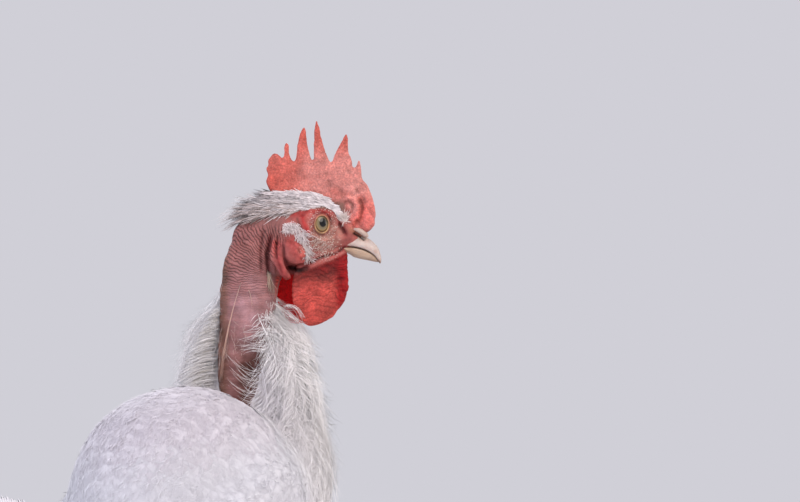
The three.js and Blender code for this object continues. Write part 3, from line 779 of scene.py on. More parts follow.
def slab(outline, half):
    # an outline in two of the head's directions, made a plate of even thickness
    n = len(outline)
    flat = np.array(tessellate_polygon([[Vector((x, y, 0)) for x, y in outline]]))
    front = np.stack([outline[:, 0], np.full(n, -half), outline[:, 1]], 1)
    back = front * [1, -1, 1]
    a = np.arange(n)
    b = np.roll(a, -1)
    walls = np.vstack([np.stack([a, b, b + n], 1), np.stack([a, b + n, a + n], 1)])
    points = np.vstack([front, back])
    triangles = np.vstack([flat, flat[:, ::-1] + n, walls])
    p = points[walls[0]]
    outwards = np.cross(p[1] - p[0], p[2] - p[0]) @ (p.mean(0) - points.mean(0))
    cap = points[flat[0]]
    capOut = np.cross(cap[1] - cap[0], cap[2] - cap[0])[1] < 0
    if (outwards > 0) != capOut:
        triangles = np.vstack([flat[:, ::-1], flat + n, walls])
    return facingOut(points, triangles)


def inflated(outline, voxel, rim, halfAt):
    # a plate whose half thickness rises from its rim as a quarter ellipse: h·(⅓+⅔·√(1-(1-d/rim)²))
    thick = 2.4
    points, triangles = remeshed([slab(outline, thick)], voxel)
    flat = points[:, [0, 2]]
    d, _ = lineDistance(flat, np.vstack([outline, outline[:1]]))
    swell = 0.33 + 0.67 * np.sqrt(1 - (1 - np.clip(d / rim, 0, 1)) ** 2)
    points[:, 1] = np.clip(points[:, 1] / thick, -1, 1) * halfAt(flat) * swell
    return points, triangles


def combPlate():
    # the comb's blade: thickest at its foot and in front, thinning to its points
    s = combShape

    def halfAt(p):
        swell = smooth(p[:, 0], s["frontFrom"], s["frontTo"]) * (1 - smooth(p[:, 1], 12, 36))
        base = mix(s["base"], s["front"], swell)
        return mix(base, s["tip"], smooth(p[:, 1], s["baseLevel"], s["tipLevel"])) / 2

    points, triangles = inflated(smoothOutline(s["outline"]), s["voxel"], s["rim"], halfAt)
    # the blade leans and waves a little from side to side
    points[:, 1] += 0.9 * np.sin(points[:, 0] / 9.0) * smooth(points[:, 2], 25, 60)
    return fromHead(points), triangles


def wattlePlate(side, shift):
    # the plate hangs at its levels' distance from the middle, and cups inwards towards both its ends
    s = wattleShape
    outline = smoothOutline(s["outline"]) + [shift, 0]
    points, triangles = inflated(outline, s["voxel"], s["rim"], lambda p: np.full(len(p), s["half"]))
    levels = np.array(s["levels"])[::-1]
    middle = np.interp(points[:, 2], levels[:, 0], levels[:, 1])
    cup = ((points[:, 0] - s["cupMiddle"] - shift) / s["cupHalf"]) ** 2
    points[:, 1] += side * (middle - s["cup"] * cup)
    return fromHead(points), triangles


def sided(stations, side):
    # the stations are those of the left side, and side -1 mirrors them to the right
    return [(f, side * s, *rest) for f, s, *rest in stations]


def headLoft(stations, **how):
    # a loft whose stations are in the head's frame
    points, triangles = loft(stations, **how)
    return fromHead(points), triangles


coatDepth = {"body": 7.0, "wing": 4.5, "shin": 3.5, "bare": 0.3}


def innerBody():
    # the flesh lies inside the coat's surface by the coat's depth
    bare = bareShare(toHead(outerPoints), outerPoints[:, 2])
    trunkX = outerPoints[:, 0] - neckAxis[0]
    wing = smooth(np.abs(outerPoints[:, 1]), 66, 74) * smooth(trunkX, 0, -20)
    shin = smooth(outerPoints[:, 2], 190, 140)
    tail = smooth(trunkX, -225, -240)
    depth = mix(coatDepth["body"], coatDepth["wing"], wing)
    depth = mix(depth, coatDepth["shin"], np.maximum(shin, tail))
    depth = mix(depth, coatDepth["bare"], bare)
    return outerPoints - outerNormals * depth[:, None], outerTriangles


skinShape = {"voxel": 0.85, "bodyTriangles": 24000, "eyeReach": 13.0}
shapes = [innerBody(), combPlate(), wattlePlate(**wattleShape["near"]), wattlePlate(**wattleShape["far"]),
          headLoft(headShape["skull"], around=40, along=40),
          headLoft(headShape["neck"], around=40, along=60, up=(-1, 0, 0), blunt=6)]
for side in sides.values():
    shapes.append(headLoft(sided(headShape["lobe"], side), blunt=2))
    for fold in ("fold", "foldBehind"):
        shapes.append(headLoft(sided(headShape[fold], side), up=(1, 0, 0), blunt=2))
    shapes.append(headLoft(sided(headShape["jaw"], side), blunt=2.4))
skinPoints, skinTriangles = remeshed(shapes, skinShape["voxel"])
print("skin wrapped:", len(skinPoints), "points")
h = toHead(skinPoints)
lower = skinPoints[:, 2] < bareFoot["foot"] - 6
lower |= (skinPoints[:, 2] < 440) & (np.hypot(h[:, 0], h[:, 1]) > 25)
skinPoints, skinTriangles = thinned(skinPoints, skinTriangles, lower, skinShape["bodyTriangles"])
h = toHead(skinPoints)
eyeAt = np.array([headFrame["eyeForward"], 0, 0])
nearEye = np.linalg.norm(h * [1, 0, 1] - eyeAt, axis=1) < skinShape["eyeReach"]
nearEye &= (np.abs(h[:, 1]) > 7) & (h[:, 2] > -60)
skinPoints, skinTriangles = refined(skinPoints, skinTriangles, nearEye)
print("skin thinned:", len(skinPoints), "points,", len(skinTriangles), "triangles")


# ---- sculpting the head and neck ----
headLines = {  # lines on the side of the head, forward and up in millimetres
    "beforeEye": [(66.2, 0), (68, -3), (70.7, -7.5)],
    "mouth": [(70, -17), (63.7, -21.7), (51.5, -25), (43.4, -29.4)],
    "lip": [(70.7, -20), (56.7, -25.4), (42.7, -32.4)],
    "ridgeBehindEye": [(40.5, 5), (41.5, 0), (43.6, -3.5), (44.6, -7.5)],
    "behindRidge": [(36.8, 4), (38.2, -1), (40.6, -6)],
    "napeFold": [(18.5, -9), (16, -22), (17.5, -40)],
    "napeCrest": [(21.5, -9), (19.8, -22), (21, -38)],
    "napeCrease": [(23.3, -8), (22, -16), (22.6, -26)],
    "napeRear": [(13, -6), (11.5, -20), (12, -34)],
    "behindLobe": [(27.4, -15), (28.2, -24), (31.2, -33)],
    "earLobe": [(33, -14), (37, -19), (42, -25)],
    "earFlap": [(22.5, -15), (25, -28), (30, -40)],
    "underLobe": [(33, -32), (39, -33.5), (46, -31)],
    "lobeCrease": [(34, -14), (38, -18), (42, -24)],
    "nostril": [(76.2, -7.2), (79.5, -9.4), (82.8, -12)],
    "combFrontFoot": [(59.5, 24), (60, 30)],
    "rolledFold": [(70, 18), (76, 16.5), (79.2, 11), (77.5, 5.2)],
    "rollHollow": [(68.5, 13.5), (72, 15), (75.4, 12.4), (75, 7.6), (71.5, 6.4)],
    "rollHeart": [(69.5, 10.5), (72, 11.4), (73, 9.6)],
    "frontHollow": [(80.5, 17), (82.6, 10), (81, 3), (76.5, -1)],
    "frontRidge": [(84, 14), (86, 6), (84, 0)],
    "frontCrease": [(77, 24), (83, 17), (86.6, 8)],
    "wattleLow": [(45, -64), (52, -66.5), (60, -63), (66, -56)],
    "wattleRear": [(38, -57), (46, -60), (54, -58)],
    "wattleFront": [(62, -30), (67, -38), (68, -48)],
}
# a stroke raises or sinks the skin along its line: width, height
strokes = {
    "beforeEye": (1.5, -1.8), "mouth": (0.9, -1.5), "lip": (1.6, 1.2), "ridgeBehindEye": (1.7, 1.4),
    "behindRidge": (1.0, -0.9), "napeFold": (1.2, -1.6), "napeCrest": (1.0, 1.3), "napeCrease": (0.8, -1.1),
    "napeRear": (1.1, -0.8), "behindLobe": (0.8, -1.0), "underLobe": (1.4, -1.6), "lobeCrease": (0.8, -0.5),
    "nostril": (0.9, -1.3), "combFrontFoot": (2.4, -0.8), "rolledFold": (1.3, 1.2), "rollHollow": (1.0, -1.0),
    "rollHeart": (1.0, 0.8), "frontHollow": (1.1, -1.2), "frontRidge": (1.2, 0.7), "frontCrease": (0.9, -0.6),
    "wattleLow": (1.0, -0.6), "wattleRear": (0.8, -0.45), "wattleFront": (1.6, -0.5),
}
eyeShape = {"centre": (54.2, -0.8), "wide": 4.2, "high": 5.45, "rim": 0.7, "sunk": 2.2}
lidFolds = ((1.16, 0.08, 0.3), (1.42, 0.1, -0.45), (1.62, 0.12, 0.35))  # ring, width, height
wrinkles = {"neck": 0.55, "nearWattle": 0.6, "farWattle": 0.12}
throat = {"ahead": 29.0, "up": -40.0, "radius": 31.0}


def foldRun(h):
    # wrinkles are rings across the neck below the throat, and fan out about it above:
    # radius·angle there, the plain height below
    f, u = throat["ahead"] - h[:, 0], h[:, 2] - throat["up"]
    return np.where(u > 0, throat["radius"] * np.arctan2(u, np.maximum(f, 0.1)), u)


def fromNeckSpine(h):
    # distance from the middle line of the neck
    spine = curveThrough([st[:3] for st in headShape["neck"]], np.linspace(0, 1, 50))
    return lineDistance(h, spine[::-1])[0]


def ringAbout(h, f, u, wide, high):
    # 1 on an ellipse about a place on the side of the head, 0 at its middle
    return np.hypot((h[:, 0] - f) / wide, (h[:, 2] - u) / high)


def lineBell(h, name, width):
    # 1 on a line of the head's side, fading over the width
    return bell(lineDistance(h[:, [0, 2]], headLines[name])[0], width)


h = toHead(skinPoints)
normals = normalsOf(skinPoints, skinTriangles)
headOnly = smooth(skinPoints[:, 2], bareFoot["foot"], bareFoot["top"])
combMask = smooth(h[:, 2], 12, 18) * headOnly
combMask = np.maximum(combMask, smooth(h[:, 0], 70, 76) * smooth(h[:, 2], -6, -3))
jawLine = np.interp(h[:, 0], [34, 43, 57, 71], [-36, -32.5, -26.5, -20.5])
wattleMask = smooth(jawLine - h[:, 2], 0, 3) * smooth(np.abs(h[:, 1]), 4, 7)
wattleMask = wattleMask * smooth(h[:, 0], 20, 23) * smooth(h[:, 2], -80, -76)
run = foldRun(h)
neckMask = smooth(h[:, 0], 36, 22) * smooth(h[:, 2], 2, -6) * smooth(fromNeckSpine(h), 25, 23) * headOnly
# the seams between the joined shapes are evened out, and the comb's points stay sharp
soft = relaxed(skinPoints, skinTriangles, 4, 0.5)
kept = np.maximum(smooth(h[:, 2], 36, 46), smooth(h[:, 0], 27, 22) * smooth(h[:, 2], 18, 22))
skinPoints = skinPoints + (soft - skinPoints) * (1 - 0.75 * kept)[:, None]

side = np.abs(h[:, 1])
rise = np.zeros(len(h))
for name, (width, height) in strokes.items():
    d, share = lineDistance(h[:, [0, 2]], headLines[name])
    ends = smooth(share, -0.01, 0.12) * smooth(share, 1.01, 0.88)
    rise += height * bell(d, width) * ends * smooth(side, 1.0, 3.0)
stretched = h / [3, 3, 1]
wattleRise = np.where(h[:, 1] > 0, wrinkles["farWattle"], wrinkles["nearWattle"])
rise += wattleMask * wattleRise * (noise(stretched, 1.9, 1) + 0.6 * noise(stretched, 1.1, 2))
rise += combMask * (0.3 * noise(h, 5.0, 3) + 0.16 * noise(h, 2.2, 4))
rise += combMask * smooth(h[:, 2], 30, 20) * smooth(h[:, 0], 56, 66) * 0.6 * noise(h, 3.2, 9)
across = np.stack([h[:, 0] / 4, h[:, 1] / 4, run], 1)
rise += neckMask * (wrinkles["neck"] * noise(across, 3.0, 5) + 0.5 * noise(h, 9.0, 6))
# the face is finely folded in rays about the eye
face = headOnly * smooth(h[:, 0], 24, 34) * (1 - combMask) * (1 - wattleMask)
around = np.stack([h[:, 0] - 54, h[:, 2] + 0.6], 1)
polar = np.stack([np.hypot(*around.T) * 1.3, np.arctan2(around[:, 1], around[:, 0]) * 3.5,
                  np.sign(h[:, 1])], 1)
rise += face * 0.42 * noise(polar, 1.7, 14) * smooth(polar[:, 0], 8, 10) * smooth(polar[:, 0], 26, 18)
rise += face * (0.2 * noise(h, 2.0, 7) + 0.32 * noise(h, 3.6, 8))
rise += lineBell(h, "earLobe", 5) * (0.55 * noise(h, 2.6, 10) + 0.45 * noise(h, 1.4, 17))
rise += lineBell(h, "earFlap", 3) * 0.35 * noise(h, 1.7, 18)
skinPoints = skinPoints + normals * (rise * headOnly)[:, None]

# the eye's opening: inside it the skin sinks behind the eyeball, its rim lies on the ball, and
# outside it the lids run out into the face
h = toHead(skinPoints)
eyeRing = ringAbout(h, *eyeShape["centre"], eyeShape["wide"], eyeShape["high"])
eyeTurn = np.arctan2((h[:, 2] - eyeShape["centre"][1]) / eyeShape["high"],
                     (h[:, 0] - eyeShape["centre"][0]) / eyeShape["wide"])
ball = headFrame["eyeOut"] + np.sqrt(np.maximum(
    headFrame["eyeRadius"] ** 2 - (h[:, 0] - headFrame["eyeForward"]) ** 2 - h[:, 2] ** 2, 0))
skullSide = np.abs(h[:, 1])
lid = np.maximum(ball + eyeShape["rim"], skullSide - 2.4)
for ring, width, height in lidFolds:
    lid += height * bell(eyeRing - ring, width)
wanted = mix(lid, ball - eyeShape["sunk"], smooth(eyeRing, 1.06, 0.97))
blendIn = smooth(eyeRing, 2.25, 1.5) * (skullSide > 6) * headOnly * (h[:, 2] > -14)
h[:, 1] = np.sign(h[:, 1]) * mix(skullSide, wanted, blendIn)
skinPoints = fromHead(h)
print("head sculpted")

# ---- the skin's colours ----
palette = {
    "comb": "#bd6156", "combPink": "#c3877f", "combFrontHighlight": "#d16963", "combDeep": "#bb5245",
    "wattleEdgeShade": "#7c1d18", "face": "#a05650", "faceTan": "#a3786b", "ridge": "#9e3331", "lobe": "#a44946",
    "creaseShade": "#6a2022", "gapShade": "#2c100e", "wattle": "#b4483f", "wattleDeepShade": "#880a0e",
    "wattleFarGlow": "#d2040a", "wattleShade": "#4b0f0e", "neck": "#8a5854", "neckLow": "#8c6360",
    "neckPink": "#ab8286", "neckRearShade": "#6c4a38", "neckFootShade": "#5c3a33", "underCapShade": "#7d5a50",
    "rim": "#c79f70", "lidEdgeShade": "#2c1710", "body": "#eadcdb",
}
capHem = ([0, 14, 47, 60, 69], [0, 4.5, 9, 8.5, 2.5])  # where the skin under the cap begins: forward, up
headLines.update({
    "lobeTip": [(40, -19), (43.5, -25)], "lobeGap": [(32, -33), (38, -33.5), (43, -32.5)],
    "flapBefore": [(27.2, -15), (28, -24), (31, -33)], "flapBehind": [(22.6, -16), (23.2, -24), (26.6, -34)],
    "brow": [(34, 5.5), (44, 8), (52, 9), (60, 6)], "combFoot": [(62, 22), (72, 19.5)],
    "beakRoot": [(74.6, -5.2), (77.5, -6.6), (81, -9)],
    "nostrilSlit": [(76.2, -7.6), (79.5, -9.6), (82.8, -12)],
})


def coloured():
    # each colour is laid over the ones before it by its mask
    f, s, u = h.T
    n1, n2, n3 = cloudy(h, 7.0, 11), cloudy(h, 3.0, 12), cloudy(h, 1.6, 13)
    nearWattle = wattleMask * (s < 0)
    hem = np.interp(f, *capHem)
    colour = np.tile(linear(palette["body"]), (len(h), 1))

    def over(code, mask):
        nonlocal colour
        colour = tinted(colour, palette[code], np.clip(mask, 0, 1))

    def spot(f0, u0, wide, high):
        return bell(ringAbout(h, f0, u0, wide, high), 1)

    def line(name, width):
        return lineBell(h, name, width)

    def lidRing(ring, width):
        return blendIn * bell(eyeRing - ring, width)

    over("neck", headOnly)
    over("neckLow", headOnly * smooth(u, -20, -75) * (0.75 + 0.3 * n1))
    over("neckPink", headOnly * spot(5, -60, 15, 22) * (0.75 + 0.5 * n1))
    # painted shade: the rear of the neck is darker
    over("neckRearShade", neckMask * smooth(f, -8, -15) * (0.7 + 0.3 * n2))
    # painted shade at the foot of the neck on the near side, under the ruff
    nearFoot = smooth(u, -82, -100) * smooth(-s, 2, 10) * smooth(f, -10, 0)
    over("neckFootShade", headOnly * nearFoot * (0.85 + 0.3 * n2))
    over("face", face * smooth(f, 22, 32))
    over("faceTan", face * smooth(ringAbout(h, 57, -8, 14, 15), 1.1, 0.4) * (0.75 + 0.4 * n2))
    over("lobe", line("earLobe", 5.5) * (0.9 + 0.3 * n2))
    over("comb", line("lobeTip", 2.6) * 0.7)
    over("lobe", line("earFlap", 4.0))
    # painted shade in the creases beside the ear flap, at the nape and under the lobe
    over("creaseShade", line("flapBefore", 1.1) * 0.8)
    over("creaseShade", line("flapBehind", 0.7) * 0.7)
    over("creaseShade", line("napeFold", 1.6) * 0.75 + line("napeRear", 1.2) * 0.4)
    over("creaseShade", line("underLobe", 2.0))
    # painted shadow in the gap under the ear lobe
    over("gapShade", line("lobeGap", 1.5) * 0.9)
    over("ridge", line("ridgeBehindEye", 1.9))
    over("ridge", line("brow", 2.2) * face * 0.75)
    # painted shade in the creases before the eye and along the mouth
    over("creaseShade", line("beforeEye", 1.5))
    over("creaseShade", line("mouth", 1.0))
    over("face", line("lip", 1.6) * 0.7)
    # painted shade on the skin under the cap's locks
    over("underCapShade", smooth(u, hem, hem + 2) * smooth(f, 72, 68) * headOnly)
    over("comb", combMask)
    over("combPink", combMask * smooth(f + 5 * n1, 30, 50) * (0.6 + 0.12 * n2)
         * (0.4 + 0.6 * smooth(u, 8, 26)) * smooth(u, 62, 40))
    # painted highlight: paler over the comb's front lump
    over("combFrontHighlight", combMask * spot(82, 5, 9, 10) * 0.8)
    over("combDeep", combMask * smooth(f, 34, 16) * smooth(u, 44, 30) * 0.7)
    # painted shade in the hollow at the comb's front and along its foot
    over("combDeep", combMask * line("frontHollow", 2.0) * 0.85)
    over("combDeep", combMask * line("combFoot", 3.0) * 0.35)
    over("combPink", combMask * spot(73, 10.5, 6, 6) * 0.8)
    over("combPink", combMask * spot(77, 23, 9, 9) * 0.35)
    # darker towards the points: painted shade of their thin edges
    over("combDeep", combMask * smooth(u, 44, 60) * (0.45 + 0.3 * n2))
    over("wattle", wattleMask)
    # painted light: the far wattle's inner side is a bright red that stands for light shining through it
    over("wattleFarGlow", wattleMask * (s > 0) * smooth(f, 44, 36) * smooth(-skinAside, -0.2, 0.3))
    # painted shade on the near wattle: darker at its top, under the jaw, and along its front edge, where it
    # curls away
    over("wattleEdgeShade", nearWattle * smooth(f, 63, 71) * smooth(u, -58, -48))
    over("wattleShade", nearWattle * smooth(u, -50, -30) * 0.97)
    over("wattleShade", nearWattle * smooth(f, 65, 72) * smooth(u, -66, -50) * 0.6)
    over("wattleDeepShade", nearWattle * smooth(u, -40, -24) * 0.55)
    over("wattleDeepShade", nearWattle * smooth(f, 61, 67.5) * smooth(u, -66, -54))
    over("rim", lidRing(1.15, 0.1) * (0.45 + 0.55 * smooth(-np.sin(eyeTurn), -0.5, 0.3)))
    over("rim", line("beakRoot", 1.8) * 0.25)
    # painted shade in the nostril's slit
    over("gapShade", line("nostrilSlit", 0.85))
    # painted shade: a dark line round the eye's opening, strongest under the upper lid
    over("lidEdgeShade", lidRing(1.03, 0.05) * (0.15 + 0.75 * smooth(np.sin(eyeTurn), -0.3, 0.3)))
    # painted shade in the groove round the eye
    over("creaseShade", lidRing(1.42, 0.12) * 0.45)
    # painted shade and highlight: hollows are darker and ridges paler
    colour = colour * (1 + np.clip(rise * 0.5, -0.5, 0.2))[:, None]
    return np.clip(colour * (1 + 0.07 * n3[:, None]), 0, 1)


skinAside = normalsOf(skinPoints, skinTriangles) @ aside
skinMesh = makeMesh("skin", skinPoints, skinTriangles)
addColour(skinMesh, "skinTone", coloured())
# how strongly the skin is pebbled, crossed by wrinkles and stippled
pebbled = np.maximum(combMask, wattleMask * 0.8)
crossed = neckMask * (0.1 + 0.9 * smooth(h[:, 2], -62, -30))
crossed = np.maximum(crossed, wattleMask * (h[:, 1] < 0) * (0.35 + 0.2 * noise(h, 9.0, 15)))
run = np.where(wattleMask > 0.5, h[:, 2] * 0.55 + 3.0 * noise(h, 11.0, 16), run)
stipple = face * smooth(ringAbout(h, 54, -17, 16, 10), 1.15, 0.6) * (h[:, 0] < 68)
stipple = np.maximum(stipple, face * smooth(eyeRing, 2.9, 1.6) * smooth(eyeRing, 1.3, 1.5) * 0.45)
addColour(skinMesh, "relief", np.stack([pebbled, crossed, stipple], 1))
skinMesh.attributes.new("neckRun", "FLOAT", "POINT").data.foreach_set("value", run.astype(np.float32))
putIn("skin", skinMesh, skinMaterial, "red_face", "head", "comb", "neck_upper", "neck_lower",
      "breast", "back", "saddle", "tail_stub", *bothSides("wattle", "ear_lobe", "thigh"))
print("skin made:", len(skinTriangles), "triangles")


# ---- eyes ----
eyeLook = {"tilt": 28.0, "lift": 3.0, "irisHalf": 5.9, "bulge": 1.9, "pupilWide": 0.88}


def eyeball(side):
    # turned about its axis: a sphere, and over the iris a flatter cap; z(r) = cap - b·(r/i)²
    look, radius = eyeLook, headFrame["eyeRadius"]
    lean, lift = math.radians(look["tilt"]), math.radians(look["lift"])
    axis = unit(np.array([math.sin(lean), side * math.cos(lean) * math.cos(lift), math.sin(lift)]))
    level = unit(np.cross(axis, [0, 0, 1]) * -side)
    high = np.cross(level, axis)
    high = high * np.sign(high[2])
    edge = math.asin(look["irisHalf"] / radius)
    inner = np.linspace(0, look["irisHalf"], 24)
    cap = radius * math.cos(edge) + look["bulge"] * (1 - (inner / look["irisHalf"]) ** 2)
    outer = np.linspace(edge, math.pi, 22)[1:]
    r = np.concatenate([inner, radius * np.sin(outer)])
    z = np.concatenate([cap, radius * np.cos(outer)])
    turns = np.linspace(0, 2 * math.pi, 48, endpoint=False)
    ring = level * np.cos(turns)[:, None] + high * np.sin(turns)[:, None]
    centre = toHead(eyeCentres[side][None])[0]
    points, triangles = closedGrid(centre + z[:, None, None] * axis + r[:, None, None] * ring)
    local = points - centre
    iris = np.stack([local @ level / look["pupilWide"], local @ high, local @ axis], 1) / look["irisHalf"]
    iris[iris[:, 2] < 0, :2] = 1.0
    return fromHead(points), triangles, iris


for name, side in sides.items():
    points, triangles, iris = eyeball(side)
    mesh = makeMesh(f"eyeball_{name}", points, triangles)
    mesh.attributes.new("irisPlace", "FLOAT_VECTOR", "POINT").data.foreach_set(
        "vector", iris.astype(np.float32).ravel())
    putIn(f"eyeball_{name}", mesh, eyeMaterial, "eyeball", f"eye_{name}")
print("eyes made")

# ---- beak ----
beakShape = {
    # each mandible is widest along the mouth line, where its spine runs
    "upper": [(66, 0, -15.6, 6.8, 8, 1.6), (73, 0, -15.7, 7.3, 8, 1.6), (79, 0, -16.4, 7.1, 8, 1.6),
              (85, 0, -18.4, 6.0, 6.7, 1.5), (89.2, 0, -20.9, 4.7, 5.3, 1.5), (92, 0, -24, 3.3, 3.3, 1.3),
              (93.9, 0, -27, 2.0, 1.9, 1), (94.8, 0, -29.4, 0.9, 0.9, 0.8)],
    "lower": [(64, 0, -18.4, 5.6, 1.5, 4.5), (71, 0, -18.4, 5.9, 1.5, 3.6), (77, 0, -18.7, 5.7, 1.5, 6.0),
              (82.5, 0, -20.2, 4.8, 1.5, 6.0), (88, 0, -22.9, 3.5, 1.4, 4.6), (91.8, 0, -25.9, 2.2, 1.2, 2.7),
              (93.8, 0, -28.2, 1.1, 0.9, 0.9)],
    "flap": [(75.5, 5.3, -4.2, 1.6, 1.6, 2), (79.5, 5.8, -5.6, 2.0, 2.2, 2), (83.5, 5.2, -8.0, 1.9, 2.0, 2),
             (86.6, 3.8, -10.6, 1.2, 1.3, 1.4)],
    "slit": [(76.6, -7.0), (80, -9.2), (83.4, -11.8)],
    "tomium": [(69, -17.1), (76, -17.2), (82, -18.6), (87, -20.8), (91, -23.8), (94.1, -28.1)],
    "voxel": 0.4,
}
hornTones = {"cream": "#bfaea6", "warm": "#b38e80", "lower": "#ba9b7d", "saddle": "#b39a8c", "tip": "#8f6a50",
             "slit": "#241512", "edge": "#5b3f2b"}


def hornPiece(name, shapes, node, isUpper):
    # the upper mandible has the nostril's slit, the lower one is yellower
    points, triangles = remeshed(shapes, beakShape["voxel"])
    points = relaxed(points, triangles, 3)
    h = toHead(points)
    flat = h[:, [0, 2]]
    slit = lineDistance(flat, beakShape["slit"])[0] if isUpper else np.full(len(h), 9.0)
    points = points - normalsOf(points, triangles) * (1.6 * bell(slit, 0.8))[:, None]
    edge = lineDistance(flat, beakShape["tomium"])[0]
    layers = [
        ("warm", smooth(noise(h, 3.0, 21), -0.2, 0.9) * 0.5 + 0.35 * smooth(h[:, 0], 82, 74)),
        ("lower", np.full(len(h), 0.0 if isUpper else 0.75)),
        ("saddle", smooth(h[:, 2], -13.5, -11) * smooth(h[:, 0], 89, 85) * 0.8),
        # painted shade: the nostril's slit and the mouth line along the cutting edge are dark
        ("tip", 0.7 * smooth(h[:, 2], -24, -29)), ("slit", bell(slit, 0.75)),
        ("edge", 0.85 * bell(edge, 0.55))]
    colour = np.tile(linear(hornTones["cream"]), (len(h), 1))
    for code, share in layers:
        colour = tinted(colour, hornTones[code], share)
    mesh = makeMesh(name, points, triangles)
    addColour(mesh, "hornTone", np.clip(colour, 0, 1))
    putIn(name, mesh, hornMaterial, "horn", node)


hornPiece("beakUpper", [headLoft(beakShape["upper"], around=32, along=40, blunt=6)] + [
    headLoft(sided(beakShape["flap"], side), blunt=2.2) for side in sides.values()], "beak_upper", True)
hornPiece("beakLower", [headLoft(beakShape["lower"], around=32, along=32, blunt=6)], "beak_lower", False)
print("beak made")

# ---- legs ----
legShape = {
    "foot": (-62, 44), "stride": 9, "hock": (-32, 106), "claw": 13, "voxel": 0.9, "scute": 4.2, "raise": 0.45,
    # turn from straight ahead in degrees, length, joints, girth
    "toes": {"middle": (-4, 66, 3, 5.8), "inner": (38, 48, 2, 5.4), "outer": (-44, 52, 3, 5.2),
             "hind": (168, 22, 1, 4.6)},
    "spur": [(-12, 2, 52, 4.2, 4.2, 4.2), (-20, 7, 53, 3.6, 3.6, 3.6), (-27, 13, 56, 2, 2, 2),
             (-31, 17, 61, 0.6, 0.6, 0.6)],
    "sole": 0.02,  # nothing of the foot goes below this height
}
legTones = {"scale": "#d3b47c", "seam": "#8a6a44", "behind": "#d9a58c",
            "claw": "#cdb79a", "clawTip": "#8f765c"}


def shankStations():
    # the shank from over the hock down to the ball of the foot
    x, z = legShape["hock"]
    return [(x - 5, 0, z + 26, 6.5, 7, 7), (x - 2, 0, z + 12, 7, 8, 8), (x, 0, z, 8.6, 9.8, 9.4),
            (x + 6, 0, z - 22, 6.4, 7.8, 7.2), (-15, 0, 58, 6.1, 7.4, 6.8), (-6, 0, 29, 6.8, 7.8, 7.2),
            (0, 0, 13, 8.8, 9.6, 9.2), (2, 0, 2, 9, 9, 9)]


def spun(shape, degrees):
    # turned about the leg's upright axis
    points, triangles = shape
    a = math.radians(degrees)
    turned = np.array([[math.cos(a), math.sin(a), 0], [-math.sin(a), math.cos(a), 0], [0, 0, 1]])
    return points @ turned, triangles


def toeStations(length, joints, girth):
    # a pad at each joint: the girth swells and sinks along the toe as it thins by a quarter
    steps = joints * 2 + 2
    share = np.arange(steps + 1) / steps
    pad = girth * (1 - 0.24 * share) * np.where(np.arange(steps + 1) % 2, 1, 0.84)
    return np.stack([6 + (length - 6) * share, 0 * share, 7.3 - 2.6 * share, pad * 0.92, pad, pad], 1)


def clawStations(length, girth):
    # a curved claw on from the toe's tip, down to its point
    root, claw = girth * 0.52, legShape["claw"]
    return [(length - 6, 0, 5.4, root * 0.8, root, root),
            (length + claw * 0.25, 0, 6, root * 0.85, root, root),
            (length + claw * 0.65, 0, 4.4, root * 0.5, root * 0.6, root * 0.6),
            (length + claw, 0, 1.1, 0.5, 0.5, 0.5)]


def legPieces(name, side):
    # one leg, made for the right side and mirrored for the left, and its claws
    shift = fromTrunk([legShape["foot"][0] - side * legShape["stride"], side * legShape["foot"][1], 0])
    parts = [loft(shankStations(), around=28, along=36, up=(1, 0, 0), blunt=6)]
    claws = []
    for degrees, length, joints, girth in legShape["toes"].values():
        parts.append(spun(loft(toeStations(length, joints, girth), blunt=4), degrees))
        claws.append(spun(loft(clawStations(length, girth), around=12, along=14), degrees))
    claws.append(loft(legShape["spur"], around=12, along=14))
    points, triangles = remeshed(parts, legShape["voxel"])
    points = relaxed(points, triangles, 3)
    normals = normalsOf(points, triangles)
    # scutes: overlapping plates down the front of the shank and along the top of each toe
    onShank = smooth(points[:, 2], 14, 22) > 0.5
    run = np.where(onShank, points[:, 2] * 1.04, np.hypot(points[:, 0], points[:, 1]))
    half = np.where(onShank, np.abs(points[:, 1]), 9)
    count = run / legShape["scute"] + 0.5 * (points[:, 1] > 0) * onShank
    share = count - np.floor(count)
    facing = np.where(onShank, smooth(normals[:, 0], -0.1, 0.5), smooth(normals[:, 2], 0.1, 0.5))
    seam = bell(np.minimum(share, 1 - share), 0.1) + bell(half, 0.5)
    rise = facing * legShape["raise"] * ((1 - share) * 0.8 - seam * 0.6) + 0.12 * noise(points, 1.6, 31)
    points = points + normals * rise[:, None]
    points[:, 2] = np.maximum(points[:, 2], legShape["sole"])
    colour = np.tile(linear(legTones["scale"]), (len(points), 1))
    colour = tinted(colour, legTones["seam"], np.clip(seam * facing * 0.6, 0, 0.8))
    colour = tinted(colour, legTones["behind"], 0.3 * smooth(-normals[:, 0], 0.1, 0.8))
    mesh = makeMesh(f"leg_{name}", *facingOut(points * [1, -side, 1] + shift, triangles))
    addColour(mesh, "scaleTone", np.clip(colour, 0, 1))
    putIn(f"leg_{name}", mesh, scaleMaterial, "leg_scale", f"shank_{name}",
          *[f"toe_{toe}_{name}" for toe in legShape["toes"]])
    points, triangles = joined(claws)
    points[:, 2] = np.maximum(points[:, 2], legShape["sole"])
    mesh = makeMesh(f"claws_{name}", *facingOut(points * [1, -side, 1] + shift, triangles))
    colour = np.tile(linear(legTones["claw"]), (len(points), 1))
    addColour(mesh, "hornTone", tinted(colour, legTones["clawTip"], smooth(points[:, 2], 4, 1) * 0.5))
    putIn(f"claws_{name}", mesh, clawMaterial, "horn", f"spur_{name}",
          *[f"claw_{toe}_{name}" for toe in legShape["toes"]])


for name, side in sides.items():
    legPieces(name, side)
print("legs made")


